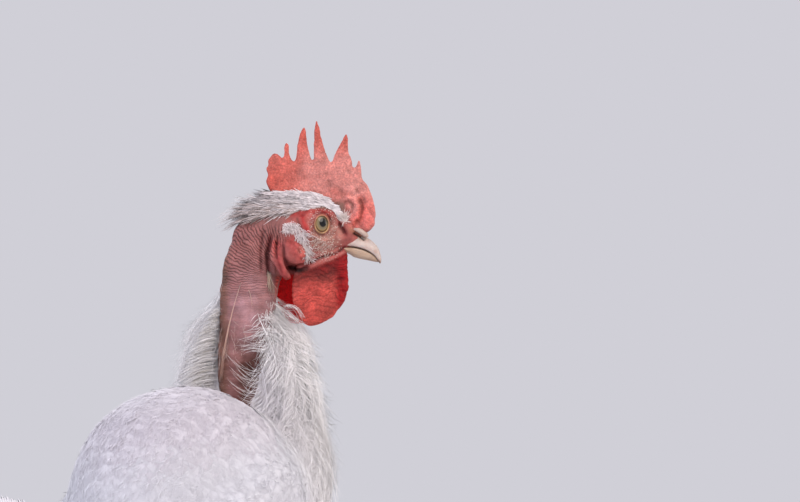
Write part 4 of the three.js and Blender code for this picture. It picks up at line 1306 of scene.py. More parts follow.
# ---- feathers: the two kinds of shape ----
def laidOn(points, lift, heights):
    # moves points along the coat's normal to their heights over it, where it looks the way they lift
    flat, off = points.reshape(-1, 3), lift.reshape(-1, 3)
    near = nearest(flat, outerPoints)
    normal = outerNormals[near]
    now = ((flat - outerPoints[near]) * normal).sum(1)
    agrees = smooth((normal * off).sum(1), 0.45, 0.8) * smooth(np.abs(now), 7, 4.5)
    moved = flat + normal * ((heights.ravel() - now) * agrees)[:, None]
    return moved.reshape(points.shape), unit(off + (normal - off) * agrees[:, None]).reshape(lift.shape)


def offShaft(lift, tangent):
    # the part of the lift square to the shaft, and the direction to the shaft's side
    lift = unit(lift - tangent * (lift * tangent).sum(-1, keepdims=True))
    return lift, np.cross(tangent, lift)


def shiftedCopies(pattern, count, per):
    # the triangles of one feather, repeated for each of them
    return (np.arange(count)[:, None, None] * per + np.array(pattern)[None]).reshape(-1, 3)


vaneForm = {"camber": 0.045, "notchForward": 0.8, "rootFray": 0.35, "frayRange": (0.5, 1.5),
            "toothRange": (0.88, 1.1), "toothLift": 0.08, "toothStep": 0.3, "toothSunk": 0.05,
            "tilt": 0.16, "laidTilt": 0.04, "toothTilt": 1.4}


def vanes(shafts, lift, half, forward=0.6, fray=0.3, thick=0.4, seed=1, heights=None):
    # Feathers as thin closed plates. shafts is (feathers, m+1, 3) from root to tip, lift the same
    # for the direction off the body, half (feathers, m+1) the half width. The outline has a tooth
    # for each lock of barbs: tooth = shaft + side·half + ahead·forward·half, notch = a shorter one.
    # The under side meets the upper one along the outline and lies `thick` under it at the shaft.
    v = vaneForm
    draw = np.random.default_rng(seed)
    n, m = len(shafts), shafts.shape[1] - 1
    tangent = unit(np.gradient(shafts, axis=1))
    lift, side = offShaft(lift, tangent)
    share = np.arange(m + 1) / m
    fullness = half[..., None]
    steps = np.linalg.norm(np.diff(shafts, axis=1), axis=-1).mean(1)[:, None, None]
    inner, early = slice(1, m), slice(0, m)
    shaftPlace = np.stack([share[inner], 0 * share[inner]], 1)
    parts = [shafts[:, :1], shafts[:, -1:], shafts[:, inner], shafts[:, inner] - lift[:, inner] * thick]
    uvs = [np.zeros((1, 2)), np.array([[1.0, 0]]), shaftPlace, shaftPlace]
    looks = [lift[:, :1], lift[:, -1:], lift[:, inner], lift[:, inner]]
    for s in (-1, 1):
        depth = fray * mix(v["rootFray"], 1, share[inner])[None, :, None]
        w = fullness[:, inner] * (1 - depth * draw.uniform(*v["frayRange"], (n, m - 1, 1)))
        notch = shafts[:, inner] + side[:, inner] * s * w
        notch = notch + tangent[:, inner] * (forward * w * v["notchForward"])
        notch, notchLift = notch - lift[:, inner] * (v["camber"] * w), lift[:, inner]
        wide = (fullness[:, :-1] + fullness[:, 1:]) / 2 * draw.uniform(*v["toothRange"], (n, m, 1))
        tooth = (shafts[:, :-1] + shafts[:, 1:]) / 2 + side[:, early] * s * wide
        tooth = tooth + tangent[:, early] * (forward * wide + v["toothStep"] * steps)
        lifted = draw.uniform(-v["toothLift"], v["toothLift"], (n, m, 1)) - v["camber"] * wide
        tooth, toothLift = tooth + lift[:, early] * lifted, lift[:, early]
        tilt = v["tilt"]
        if heights is not None:
            between = (heights[:, :-1] + heights[:, 1:]) / 2
            notch, notchLift = laidOn(notch, notchLift, heights[:, inner])
            tooth, toothLift = laidOn(tooth, toothLift, between - v["toothSunk"])
            tilt = v["laidTilt"]
        looks += [notchLift + side[:, inner] * s * tilt,
                  toothLift + side[:, early] * s * tilt * v["toothTilt"]]
        parts += [notch, tooth]
        uvs += [shaftPlace + [0, 0.8], np.stack([share[:-1] + 0.5 / m, 0 * share[:-1] + 1], 1)]
    points = np.concatenate(parts, axis=1)
    per = points.shape[1]
    root, tip, at = 0, 1, 2 * m
    top = [root, *range(2, m + 1), tip]
    low = [root, *range(m + 1, at), tip]
    pattern, ways = [], []
    for s in (-1, 1):
        notch = [root, *range(at, at + m - 1), tip]
        tooth = range(at + m - 1, at + 2 * m - 1)
        at += 2 * m - 1
        for j in range(m):
            upper = [(top[j], top[j + 1], notch[j + 1]), (top[j], notch[j + 1], notch[j]),
                     (notch[j], notch[j + 1], tooth[j])]
            under = [(low[j], tooth[j], low[j + 1]), (low[j], notch[j], tooth[j]),
                     (low[j + 1], tooth[j], notch[j + 1])]
            for way, faces in ((1, upper), (-1, under)):
                made = [t if s < 0 else t[::-1] for t in faces if len(set(t)) == 3]
                pattern += made
                ways += [way] * len(made)
    triangles = shiftedCopies(pattern, n, per)
    # every corner looks off the body, a little outwards from the shaft, as on one smooth coat
    off = unit(np.concatenate(looks, axis=1)).reshape(-1, 3)
    facing = off[triangles] * np.tile(ways, n)[:, None, None]
    local = np.concatenate(uvs)
    lengths = np.linalg.norm(np.diff(shafts, axis=1), axis=-1).sum(1)
    barbs = local[None] * np.stack([lengths, half.max(1)], 1)[:, None]
    patch = np.tile(np.stack([local[:, 0] - 0.5, (local[:, 1] - 0.5) * 0.8], 1), (n, 1))
    return {"points": points.reshape(-1, 3), "triangles": triangles, "barbs": barbs.reshape(-1, 2),
            "patch": patch, "roots": shafts[:, 0], "per": per, "facing": facing}


def strands(paths, radius, flat=1.0, away=None, plain=None):
    # Barbs and bristles: paths is (strands, k, 3), radius (strands, k). Both ends close to a point,
    # and each place between has a ring of three corners, squashed to `flat` along `away`.
    n, k = paths.shape[:2]
    tangent = unit(np.gradient(paths, axis=1))
    upwards = np.array([0.13, 0.21, 0.97])  # off the axes, so that it is never along a strand
    up, side = offShaft(np.broadcast_to(upwards if away is None else away, paths.shape), tangent)
    corner = np.radians([90, 210, 330])
    inUp, inSide = up[:, 1:-1, None], side[:, 1:-1, None]
    ring = inUp * (np.sin(corner) * flat)[:, None] + inSide * np.cos(corner)[:, None]
    # the corners look off the body, and a little to the strand's own sides; plain ones look round
    off = inUp + inSide * (np.cos(corner) * 0.45)[:, None]
    if plain is not None:
        off = np.where(plain[:, None, None, None], ring, off)
    off = unit(np.concatenate([up[:, :1], off.reshape(n, -1, 3), up[:, -1:]], axis=1)).reshape(-1, 3)
    rings = paths[:, 1:-1, None] + ring * radius[:, 1:-1, None, None]
    points = np.concatenate([paths[:, :1], rings.reshape(n, -1, 3), paths[:, -1:]], axis=1)
    per = points.shape[1]
    pattern = []
    for c in range(3):
        d = (c + 1) % 3
        pattern.append((0, 1 + c, 1 + d))
        for a in range(1, 3 * (k - 3), 3):
            pattern += [(a + c, a + 3 + d, a + d), (a + c, a + 3 + c, a + 3 + d)]
        pattern.append((per - 1, per - 4 + d, per - 4 + c))
    triangles = shiftedCopies(pattern, n, per)
    along = np.concatenate([[0], np.repeat(np.arange(1, k - 1), 3), [k - 1]]) / (k - 1)
    round3 = np.concatenate([[0.5], np.tile([0.0, 0.5, 1.0], k - 2), [0.5]])
    patch = np.tile(np.stack([along - 0.5, round3 - 0.5], 1), (n, 1))
    return {"points": points.reshape(-1, 3), "triangles": triangles, "barbs": patch * 0,
            "patch": patch, "roots": paths[:, 0], "per": per, "facing": off[triangles]}


# The skin's unwrap is in two bands: the trunk below this level, the head and neck above it.
unwrap = {"level": 400, "trunkAxis": 285, "trunkTail": -240, "trunkLength": 500, "headAxis": 20,
          "headHeight": 170, "patch": 0.003}


def rootPlace(roots):
    # the skin unwrapped as a cylinder: round the trunk's long axis, or round the head and neck
    w, h = unwrap, toHead(roots)
    trunk = np.stack([np.arctan2(roots[:, 1], roots[:, 2] - w["trunkAxis"]) / (2 * math.pi) + 0.5,
                      0.02 + 0.62 * (roots[:, 0] - w["trunkTail"]) / w["trunkLength"]], 1)
    head = np.stack([np.arctan2(h[:, 1], h[:, 0] - w["headAxis"]) / (2 * math.pi) + 0.5,
                     0.68 + 0.3 * (roots[:, 2] - w["level"]) / w["headHeight"]], 1)
    return np.clip(np.where(roots[:, 2:] > w["level"], head, trunk), 0.002, 0.998)


def coatPiece(name, made, tone, material, *nodes):
    # tone is one colour for each feather or strand
    mesh = makeMesh(name, made["points"], made["triangles"], made["facing"])
    addColour(mesh, "featherTone", np.clip(np.repeat(tone, made["per"], axis=0), 0, 1))
    addPatches(mesh, "OFBake", np.repeat(rootPlace(made["roots"]), made["per"], axis=0)
               + made["patch"] * unwrap["patch"])
    addPatches(mesh, "barbs", made["barbs"])
    putIn(name, mesh, material, "white_feather", *nodes)
    print(name, len(made["roots"]), "feathers,", len(made["triangles"]), "triangles")


# ---- how feathers lie on the body ----
# place (X from the neck's axis, side, height), direction, length, half width; both sides alike
lieAnchors = [
    ((60, 0, 330), (0.1, 0, -1), 38, 11), ((55, 0, 270), (-0.25, 0, -1), 40, 11),
    ((30, 0, 210), (-0.9, 0, -0.45), 38, 10), ((-50, 0, 190), (-1, 0, 0.0), 38, 10),
    ((25, 50, 320), (-0.5, 0.15, -0.85), 38, 11), ((15, 55, 260), (-0.8, 0, -0.6), 40, 11),
    ((-50, 72, 300), (-0.97, 0, -0.24), 44, 12), ((-110, 70, 285), (-0.97, 0, -0.22), 50, 12),
    ((-20, 45, 350), (-0.85, 0.12, -0.5), 40, 11.5), ((-30, 0, 360), (-1, 0, -0.1), 40, 11.5),
    ((-75, 0, 378), (-1, 0, -0.08), 46, 12), ((-110, 40, 350), (-0.85, 0.1, -0.5), 58, 9),
    ((-150, 0, 330), (-1, 0, -0.2), 62, 8.5), ((-165, 35, 290), (-0.8, 0.05, -0.6), 62, 8),
    ((-195, 0, 290), (-1, 0, 0.15), 46, 8.5), ((-185, 0, 235), (-0.9, 0, 0.35), 40, 10),
    ((-120, 0, 200), (-1, 0, 0.1), 38, 10), ((-55, 58, 220), (-0.35, 0, -0.93), 32, 9),
    ((-75, 55, 180), (-0.25, 0, -0.97), 26, 7.5), ((-88, 48, 135), (-0.12, 0, -1), 16, 5),
    ((5, 40, 385), (-0.2, 0.2, -1), 32, 9.5), ((-28, 0, 385), (-0.75, 0, -0.65), 34, 10),
    ((52, 0, 390), (0.25, 0, -1), 32, 9.5)]
anchorRows = np.array([
    [place[0], place[1] * mirror, place[2], lie[0], lie[1] * mirror, lie[2], *size]
    for place, lie, *size in lieAnchors for mirror in ((1, -1) if place[1] else (1,))], float)
anchorAt, anchorLie, anchorSize = fromTrunk(anchorRows[:, :3]), unit(anchorRows[:, 3:6]), anchorRows[:, 6:]


def lieOf(points):
    # the anchors' directions and sizes, each weighted by 1/(distance² + 15²)²
    d2 = ((points[:, None] - anchorAt[None]) ** 2).sum(-1)
    w = 1 / (d2 + 15 ** 2) ** 2
    w /= w.sum(1, keepdims=True)
    return unit(w @ anchorLie), w @ anchorSize


def evenOut(values):
    # each inner place keeps half of itself and takes a quarter from either neighbour
    values[:, 1:-1] = (values[:, :-2] + 2 * values[:, 1:-1] + values[:, 2:]) / 4


def shaftsOver(roots, lie, length, heights, steps, back=0.4):
    # each shaft is carried over the coat's surface in even steps from `back` of its length behind
    # its place; at every step it turns into the tangent plane and is set to its height over the
    # closest place of the surface, and the whole line is evened out at the end
    near = nearest(roots - lie * (length * back)[:, None], outerPoints)
    nrm = outerNormals[near]
    at, direction = outerPoints[near] + nrm * heights[:, :1], lie
    path, lifts = [at], [nrm]
    on = np.ones(len(at), bool)
    for j in range(steps):
        direction = unit(direction - nrm * (direction * nrm).sum(1, keepdims=True))
        at = at + direction * (length / steps)[:, None]
        near = nearest(at, outerPoints)
        # past an edge, where the surface turns away, a feather goes straight on
        on &= (outerNormals[near] * nrm).sum(1) > 0.5
        nrm = np.where(on[:, None], unit(nrm + 2 * outerNormals[near]), nrm)
        off = ((at - outerPoints[near]) * nrm).sum(1)
        at = at + nrm * ((heights[:, j + 1] - off) * on)[:, None]
        path.append(at)
        lifts.append(nrm)
    path, lifts = np.stack(path, 1), np.stack(lifts, 1)
    for _ in range(2):
        evenOut(path)
        evenOut(lifts)
    return path, unit(lifts)


def spread(points, spacing, seed):
    # one point for each cube of the spacing, then the closest pairs lose their second one
    order = np.random.default_rng(seed).permutation(len(points))
    spacing = np.broadcast_to(spacing, (len(points),))
    cube = np.floor(points[order] / spacing[order][:, None]).astype(np.int64)
    _, first = np.unique(cube @ np.array([1, 4001, 16008001]), return_index=True)
    kept = order[np.sort(first)]
    p = points[kept].astype(np.float32)
    alive = np.ones(len(kept), bool)
    for i in range(0, len(kept), 1000):
        block = p[i:i + 1000]
        d2 = (block ** 2).sum(1)[:, None] + (p ** 2).sum(1)[None] - 2 * block @ p.T
        close = d2 < (0.6 * spacing[kept[i:i + 1000]])[:, None] ** 2
        close &= np.arange(len(kept))[None] < np.arange(i, i + len(block))[:, None]
        alive[i:i + 1000] &= ~(close & alive[None]).any(1)
    return kept[alive]


def vaneOutline(steps):
    # half width of a cover feather, as a share of its full one: √(1-t⁴), narrowed towards the root
    t = np.arange(steps + 1) / steps
    return np.sqrt(np.maximum(1 - t ** 4, 0)) * (0.4 + 0.6 * smooth(t, -0.05, 0.5))


def fringeOf(shafts, lifts, half, seed):
    # loose barbs round a feather's tip: each leaves the vane near its edge and runs on past it
    s = coverShape
    draw = np.random.default_rng(seed)
    n, m = len(shafts), shafts.shape[1] - 1
    count = s["fringe"]
    tangent = unit(np.gradient(shafts, axis=1))
    side = unit(np.cross(tangent, lifts))
    row = np.arange(n)[:, None]
    at = draw.integers(m - 3, m, (n, count))
    outwards = side[row, at] * draw.choice([-1, 1], (n, count))[..., None]
    root = shafts[row, at] + outwards * (half[row, at][..., None] * draw.uniform(0.35, 0.95, (n, count, 1)))
    way = unit(tangent[row, at] + outwards * draw.uniform(0.1, 0.6, (n, count, 1)))
    length = draw.uniform(*s["fringeLength"], (n, count, 1, 1))
    t = np.linspace(0, 1, 4)[None, None, :, None]
    rise = draw.uniform(-0.04, 0.1, (n, count, 1, 1))
    paths = root[:, :, None] + length * (way[:, :, None] * t + lifts[row, at][:, :, None] * rise * t ** 1.5)
    paths = paths.reshape(-1, 4, 3)
    radius = np.tile(s["fringeRadius"] * np.array([1, 1, 0.6, 0.2]), (len(paths), 1))
    made = strands(paths, radius, 0.4, lifts[row, at].reshape(-1, 1, 3))
    made["owner"] = np.repeat(np.arange(n), count)
    return made


def profile(steps, blunt=0.8, root=0.35):
    # half width along a feather, as a share of its full one: narrow root, full middle, round tip
    t = np.arange(steps + 1) / steps
    return np.sin(math.pi * np.clip(root * 0.5 + t * (0.93 - root * 0.42), 0, 1)) ** blunt * (t < 1)


featherTones = {"warm": "#fffafa", "cool": "#e3e1ea", "crest": "#dbd3de"}


def bodyTone(roots, seed):
    # white, warmer over the breast and the foot of the neck and cooler over the back
    draw = np.random.default_rng(seed)
    warm = smooth(roots[:, 0] - neckAxis[0] + 0.3 * (roots[:, 2] - 330), -30, 40)
    tone = np.tile(linear(featherTones["cool"]), (len(roots), 1))
    tone = tinted(tone, featherTones["crest"], smooth(roots[:, 2], 335, 372))
    return tinted(tone, featherTones["warm"], warm) * draw.uniform(0.93, 1.03, (len(roots), 1))


coverShape = {"spacing": 0.66, "steps": 8, "rootDepth": -3.0, "tipHeight": 0.3, "tipSink": 0.12, "fray": 0.1,
              "fringe": 6, "fringeLength": (4.0, 9.0), "fringeRadius": 0.2, "perPiece": 1979}


def coverFeathers():
    # feathers over the whole coat: rooted in it, lying on it, and sinking in a little at the tip
    s = coverShape
    _, size = lieOf(outerPoints)
    picked = spread(outerPoints, size[:, 1] * s["spacing"], 3)
    h, height = toHead(outerPoints[picked]), outerPoints[picked][:, 2]
    picked = picked[(bareShare(h, height) < 0.4) & ((np.hypot(h[:, 0], h[:, 1]) > 26) | (height < 400))]
    roots = outerPoints[picked]
    lie, size = lieOf(roots)
    draw = np.random.default_rng(8)
    lie = unit(lie + draw.normal(0, 0.1, lie.shape))
    length = size[:, 0] * draw.uniform(0.85, 1.15, len(roots))
    t = np.arange(s["steps"] + 1) / s["steps"]
    tips = draw.uniform(0.2, 1.6, (len(roots), 1)) * s["tipHeight"]
    heights = s["rootDepth"] + (tips - s["rootDepth"]) * np.minimum(t / 0.6, 1)[None] ** 0.8
    heights = heights - (tips + s["tipSink"]) * smooth(t, 0.6, 1)[None]
    shafts, lifts = shaftsOver(roots, lie, length, heights, s["steps"])
    half = vaneOutline(s["steps"])[None] * (size[:, 1:] * draw.uniform(0.85, 1.15, (len(roots), 1)))
    shafts, lifts = laidOn(shafts, lifts, heights)
    order = np.argsort(roots[:, 0])
    return shafts[order], lifts[order], half[order], roots[order], heights[order]


shafts, lifts, half, roots, heights = coverFeathers()
parts = np.array_split(np.arange(len(shafts)), math.ceil(len(shafts) / coverShape["perPiece"]))
wings = [f"wing_{part}_{side}" for part in ("shoulder", "secondaries") for side in sides]
for i, part in enumerate(parts):
    made = vanes(shafts[part], lifts[part], half[part], 0.5, coverShape["fray"], 0.25, 40 + i, heights[part])
    tone = bodyTone(roots[part], 60 + i)
    coatPiece(f"coverFeathers_{i + 1}", made, tone, vaneMaterial, *(wings if i == 0 else []))
    made = fringeOf(shafts[part], lifts[part], half[part], 50 + i)
    coatPiece(f"coverFringe_{i + 1}", made, tone[made["owner"]], downMaterial)


# ---- wing quills and tail ----
quills = {
    "kinds": {
        "primary": {"count": 5, "root": ((-98, 64, 262), (-112, 60, 240)), "length": (124, 118), "half": 7,
                    "fall": -0.12, "over": 0},
        "secondary": {"count": 8, "root": ((-90, 72, 300), (-106, 70, 258)), "length": (118, 104), "half": 11,
                      "fall": -0.24, "over": 0.8}},
    "steps": 18,
}


def wingQuills(side):
    # each set in a row from its first root to its last, and each quill lies over the next one
    steps, made = quills["steps"], []
    t = np.arange(steps + 1) / steps
    for q in quills["kinds"].values():
        share = np.linspace(0, 1, q["count"])[:, None]
        a, b = (np.array(p, float) * [1, side, 1] for p in q["root"])
        near = nearest(fromTrunk(mix(a, b, share)), outerPoints)
        heights = (-1.5 + 3.6 * t ** 0.7)[None] + np.linspace(0.8, 0, q["count"])[:, None] + q["over"]
        lie = np.tile(unit(np.array([-0.97, 0, q["fall"]])), (q["count"], 1))
        line, lift = shaftsOver(outerPoints[near], lie, mix(*q["length"], share[:, 0]), heights, steps, 0)
        made.append((line, lift, np.tile(profile(steps, 0.5, 0.6) * q["half"], (q["count"], 1)), heights))
    return made


rows = [row for side in sides.values() for row in wingQuills(side)]
shafts, lifts, half, levels = (np.concatenate(part) for part in zip(*rows))
made = vanes(shafts, lifts, half, forward=0.5, fray=0.1, thick=0.8, seed=71, heights=levels)
coatPiece("wingQuills", made, bodyTone(shafts[:, 0], 72), quillMaterial, *bothSides("wing_primaries"))

tailShape = {
    "root": (-186, 0, 267), "steps": 54,
    "fan": {"count": 5, "length": 155, "half": 17, "low": -8, "high": 30, "droop": 16},
    # how far over the root, angle, length, half width, droop, splay
    "sickles": {"main": (12, 34, 250, 15, 98, 5), "second": (8, 27, 212, 14, 88, 9),
                "third": (3, 18, 180, 12, 80, 13), "low": (-4, 6, 150, 11, 70, 17)},
}


def plume(root, out, angle, length, droop, splay, steps):
    # a shaft whose slope falls evenly from `angle` by `droop` along its length
    lean = np.radians(angle - droop * np.arange(steps) / steps)
    away = math.radians(splay)
    step = np.stack([-np.cos(lean) * math.cos(away), out * np.cos(lean) * math.sin(away), np.sin(lean)], 1)
    return np.vstack([root, root + np.cumsum(step * length / steps, axis=0)])


def tailFeathers(sickle):
    # pairs from the middle outwards: the fan's angles rise evenly, each sickle has its own
    t, shafts, lifts, halves = tailShape, [], [], []
    x, _, z = t["root"]
    fan, steps = t["fan"], t["steps"]
    for side in sides.values():
        if sickle:
            rows = [((x - 4, side * (11 + 2.4 * i), z + lift), *row)
                    for i, (lift, *row) in enumerate(t["sickles"].values())]
        else:
            rows = [((x - 12, side * (2 + 2.2 * i), z + 6), mix(fan["low"], fan["high"], a),
                     fan["length"] * (1 - 0.1 * (1 - a)), fan["half"], fan["droop"], 1.5 + 4 * (1 - a))
                    for i, a in enumerate(np.linspace(0, 1, fan["count"]))]
        for root, angle, length, half, droop, splay in rows:
            root = fromTrunk(np.array(root, float))
            shafts.append(plume(root, side, angle, length * 0.97, droop, splay, steps))
            lifts.append(np.tile([0.02, side, 0.05], (steps + 1, 1)))
            wide = profile(steps, 0.55, 0.5) if sickle else profile(steps, 0.35, 0.6)
            halves.append(wide * np.sqrt(1 - np.linspace(0, 1, steps + 1) ** 9) * half)
    return np.stack(shafts), np.stack(lifts).astype(float), np.stack(halves)


sickleNodes = [f"tail_sickle_{kind}_{side}" for kind in tailShape["sickles"] for side in sides]
for name, sickle, nodes in (("tailFan", False, bothSides("tail_fan")), ("tailSickles", True, sickleNodes)):
    shafts, lifts, half = tailFeathers(sickle)
    made = vanes(shafts, lifts, half, forward=0.55, fray=0.12, thick=0.9, seed=81 + sickle)
    coatPiece(name, made, bodyTone(shafts[:, 0], 83), quillMaterial, *nodes)

# ---- the ruff and the bib: loose plumes of single barbs ----
bibStations = np.array([  # height, centre ahead of the neck's axis, side, back, front
    (300, 14, 54, 50, 56), (326, 12, 52, 46, 56), (352, 8, 49, 41, 54), (386, 4, 48, 46, 50),
    (412, 3, 42, 42, 44), (432, 4, 32, 33, 35), (447, 4, 20, 20, 22)])


def bibRadius(turnBy, height):
    # the coat's reach from the neck's axis, an ellipse at each height
    level, *columns = bibStations.T
    centre, side, back, front = (np.interp(height, level, column) for column in columns)
    fore = np.where(np.cos(turnBy) > 0, front, back)
    reach = 1 / np.sqrt((np.cos(turnBy) / fore) ** 2 + (np.sin(turnBy) / side) ** 2)
    return reach + centre * np.cos(turnBy)


def barbed(shafts, lift, barbLength, barbs, steps, radius, seed, sweep, wild, plain=None, curl=0.25):
    # a shaft and `barbs` strands on each side of it: each leaves the shaft forward and sideways,
    # and bends on towards the tip by `curl`
    draw = np.random.default_rng(seed)
    n, m = len(shafts), shafts.shape[1] - 1
    tangent = unit(np.gradient(shafts, axis=1))
    lift, side = offShaft(lift, tangent)
    share = np.linspace(0.06, 0.97, barbs)
    at = share * m
    i = np.minimum(at.astype(int), m - 1)
    w = (at - i)[None, :, None]

    def along(a):
        return a[:, i] * (1 - w) + a[:, i + 1] * w

    roots = along(shafts)
    forwards, out, up = (along(a)[:, :, None] for a in (tangent, side, lift))
    length = barbLength[:, None] * (np.sin(math.pi * (0.12 + 0.76 * share)) ** 0.6)[None]
    paths = []
    t = np.linspace(0, 1, steps)[None, None, :, None]
    for s in (-1, 1):
        lengthNow = (length * draw.uniform(0.75, 1.2, length.shape))[..., None, None]
        bend = draw.normal(0, wild, (n, barbs, 1, 1))
        rise = draw.normal(0, wild * 0.45, (n, barbs, 1, 1))
        way = out * s * (t - 0.3 * curl * t ** 2) + forwards * (sweep * t + curl * t ** 2 + bend * t ** 2)
        paths.append(roots[:, :, None] + (way + up * (rise * t ** 2)) * lengthNow)
    paths = np.concatenate(paths, axis=1).reshape(-1, steps, 3)
    taper = np.array([0.0] + [1.0 - 0.62 * j / (steps - 1) for j in range(1, steps - 1)] + [0.0])
    away = np.repeat(lift.mean(1), 2 * barbs, axis=0)[:, None]
    plain = np.zeros(n, bool) if plain is None else plain
    hairs = strands(paths, np.tile(radius * taper, (len(paths), 1)), 0.35, away, np.repeat(plain, 2 * barbs))
    hairs["owner"] = np.repeat(np.arange(n), 2 * barbs)
    quill = strands(shafts, np.tile(radius * 1.6 * np.linspace(1.0, 0.35, m + 1), (n, 1)), 0.6, lift, plain)
    quill["owner"] = np.arange(n)
    return merged(hairs, quill)


def merged(a, b):
    # two sets of strands as one piece, whose tones are looked up by owner
    for made in (a, b):
        made["per"] = np.full(len(made["roots"]), made["per"])
    b["triangles"] = b["triangles"] + len(a["points"])
    return {key: np.concatenate([a[key], b[key]]) for key in a}


ruffShape = {
    # height, count, length, barb
    "rows": [(447, 44, 38, 11), (439, 50, 42, 13), (429, 56, 44, 15), (417, 60, 46, 16), (403, 62, 46, 17),
             (387, 60, 46, 17), (369, 58, 44, 16), (350, 58, 42, 15)],
    # share of the reach, share of the count, barbs a side
    "shells": [(0.22, 0.7, 11), (0.48, 0.7, 11), (0.74, 0.7, 12), (1.0, 1.0, 16)],
    "steps": 6, "radius": 0.19, "half": 9, "neck": 17.0, "deep": 13.0}


def ruffShafts(seed, share, countShare, loose):
    # shafts rise out of the neck and fall over a shell at that share of the ruff's reach:
    # reach(t) = root + (shell - root)·smooth(t) + loose·t³
    draw = np.random.default_rng(seed)
    shafts, lifts, barb = [], [], []
    t = np.linspace(0, 1, ruffShape["steps"] + 1)
    for height, count, length, wide in ruffShape["rows"]:
        count = int(count * countShare)
        turnBy = np.linspace(-math.pi, math.pi, count, endpoint=False) + draw.uniform(-0.1, 0.1, count)
        z0 = height + draw.uniform(-9, 9, count)
        span = length * draw.uniform(0.75, 1.2, count)
        drop = z0[:, None] - span[:, None] * t[None] * draw.uniform(0.82, 1.0, (count, 1))
        swing = turnBy[:, None] + draw.normal(0, 0.17, (count, 1)) * t[None]
        full = bibRadius(swing, drop)
        shell = mix(ruffShape["neck"], full, share) + draw.uniform(-1.5, 1.5, (count, 1))
        root = np.maximum(ruffShape["neck"], shell - ruffShape["deep"])
        reach = mix(root, shell, smooth(t, 0, 0.75)) + loose * t ** 3
        line = np.stack([neckAxis[0] + reach * np.cos(swing), reach * np.sin(swing), drop], -1)
        high = toHead(line[:, 2])
        keep = bareShare(high, line[:, 0, 2]) < 0.3
        # the near side of the neck stays bare down to the throat's foot
        keep &= (high[:, 0] > 20) | (high[:, 1] > -4) | (high[:, 2] < -74)
        shafts.append(line[keep])
        lifts.append(np.stack([np.cos(swing), np.sin(swing), 0.25 + 0 * swing], -1)[keep])
        barb.append(np.full(keep.sum(), wide) * draw.uniform(0.8, 1.25, keep.sum()))
    return np.concatenate(shafts), np.concatenate(lifts), np.concatenate(barb)


shafts, lifts, _ = ruffShafts(90, 0.82, 1.0, 0)
# none on the near side, where only the loose plumes show
place = toHead(shafts[:, 2])
low = (shafts[:, 0, 2] < 402) & ~((place[:, 1] < -6) & (place[:, 0] > 0) & (place[:, 0] < 44))
shafts, lifts = shafts[low], lifts[low]
half = np.tile(vaneOutline(ruffShape["steps"]) * ruffShape["half"], (len(shafts), 1))
made = vanes(shafts, lifts, half, 0.6, 0.35, 0.3, 92)
coatPiece("ruffVanes", made, bodyTone(shafts[:, 0], 94), vaneMaterial, "ruff")
for k, (share, countShare, barbs) in enumerate(ruffShape["shells"]):
    shafts, lifts, barb = ruffShafts(96 + k, share, countShare, 1.4)
    for i, part in enumerate(np.array_split(np.arange(len(shafts)), 2 if share == 1 else 1)):
        # the opening by the nape shows the far ones from within
        far = toHead(shafts[part][:, 2])
        made = barbed(shafts[part], lifts[part], barb[part], barbs, 4, ruffShape["radius"], 193 + 7 * k + i,
                      sweep=0.55, wild=0.32, plain=(far[:, 1] > -4) & (far[:, 0] < 20))
        tone = bodyTone(shafts[part][:, 0], 195 + k + i)[made["owner"]]
        coatPiece(f"ruffPlumes_{k + 1}_{i + 1}", made, tone, downMaterial)

# ---- loose plumes over the breast ----
bibShape = {"spacing": 8.0, "length": 36, "barb": 13, "barbs": 12, "steps": 6, "radius": 0.19,
            "from": -34, "bottom": 250, "top": 396}


def bibPlumes():
    # the same plumes as the ruff's, rooted over the breast; their tips stand up to 2 mm off it
    s = bibShape
    x, z = outerPoints[:, 0] - neckAxis[0], outerPoints[:, 2]
    ok = (x > s["from"] + 0.12 * (z - 300)) & (z > s["bottom"]) & (z < s["top"])
    inside = np.nonzero(ok & (bareShare(toHead(outerPoints), z) < 0.05))[0]
    roots = outerPoints[inside[spread(outerPoints[inside], s["spacing"], 171)]]
    draw = np.random.default_rng(172)
    lie, _ = lieOf(roots)
    lie = unit(lie + draw.normal(0, 0.16, lie.shape))
    length = s["length"] * draw.uniform(0.75, 1.2, len(roots))
    t = np.arange(s["steps"] + 1) / s["steps"]
    heights = -1 + (1 + draw.uniform(0.4, 1.8, (len(roots), 1))) * t[None]
    shafts, lifts = shaftsOver(roots, lie, length, heights, s["steps"])
    barb = s["barb"] * draw.uniform(0.8, 1.2, len(roots))
    made = barbed(shafts, lifts, barb, s["barbs"], 4, s["radius"], 173, sweep=0.6, wild=0.3)
    coatPiece("bibPlumes", made, bodyTone(roots, 174)[made["owner"]], downMaterial)


bibPlumes()

# ---- small feathers of the head ----
headTriangles = skinTriangles[(skinPoints[:, 2] > 400)[skinTriangles].all(1)]
headNormals = normalsOf(skinPoints, skinTriangles)


def sampleSkin(keepShare, count, seed):
    # places picked at random on the head's skin, as often as keepShare says, with their normals
    draw = np.random.default_rng(seed)
    p = skinPoints[headTriangles]
    area = np.linalg.norm(np.cross(p[:, 1] - p[:, 0], p[:, 2] - p[:, 0]), axis=1)
    middle = toHead(p.mean(1))
    weight = area * keepShare(middle)
    chosen = draw.choice(len(weight), count, p=weight / weight.sum())
    a, b = draw.random((2, count, 1))
    flip = a + b > 1
    a, b = np.where(flip, 1 - a, a), np.where(flip, 1 - b, b)
    tri = headTriangles[chosen]
    q, nq = skinPoints[tri], headNormals[tri]
    points = q[:, 0] + a * (q[:, 1] - q[:, 0]) + b * (q[:, 2] - q[:, 0])
    normals = unit(nq[:, 0] + a * (nq[:, 1] - nq[:, 0]) + b * (nq[:, 2] - nq[:, 0]))
    return toHead(points), unit(np.stack([normals @ ahead, normals @ aside, normals @ upward], -1))


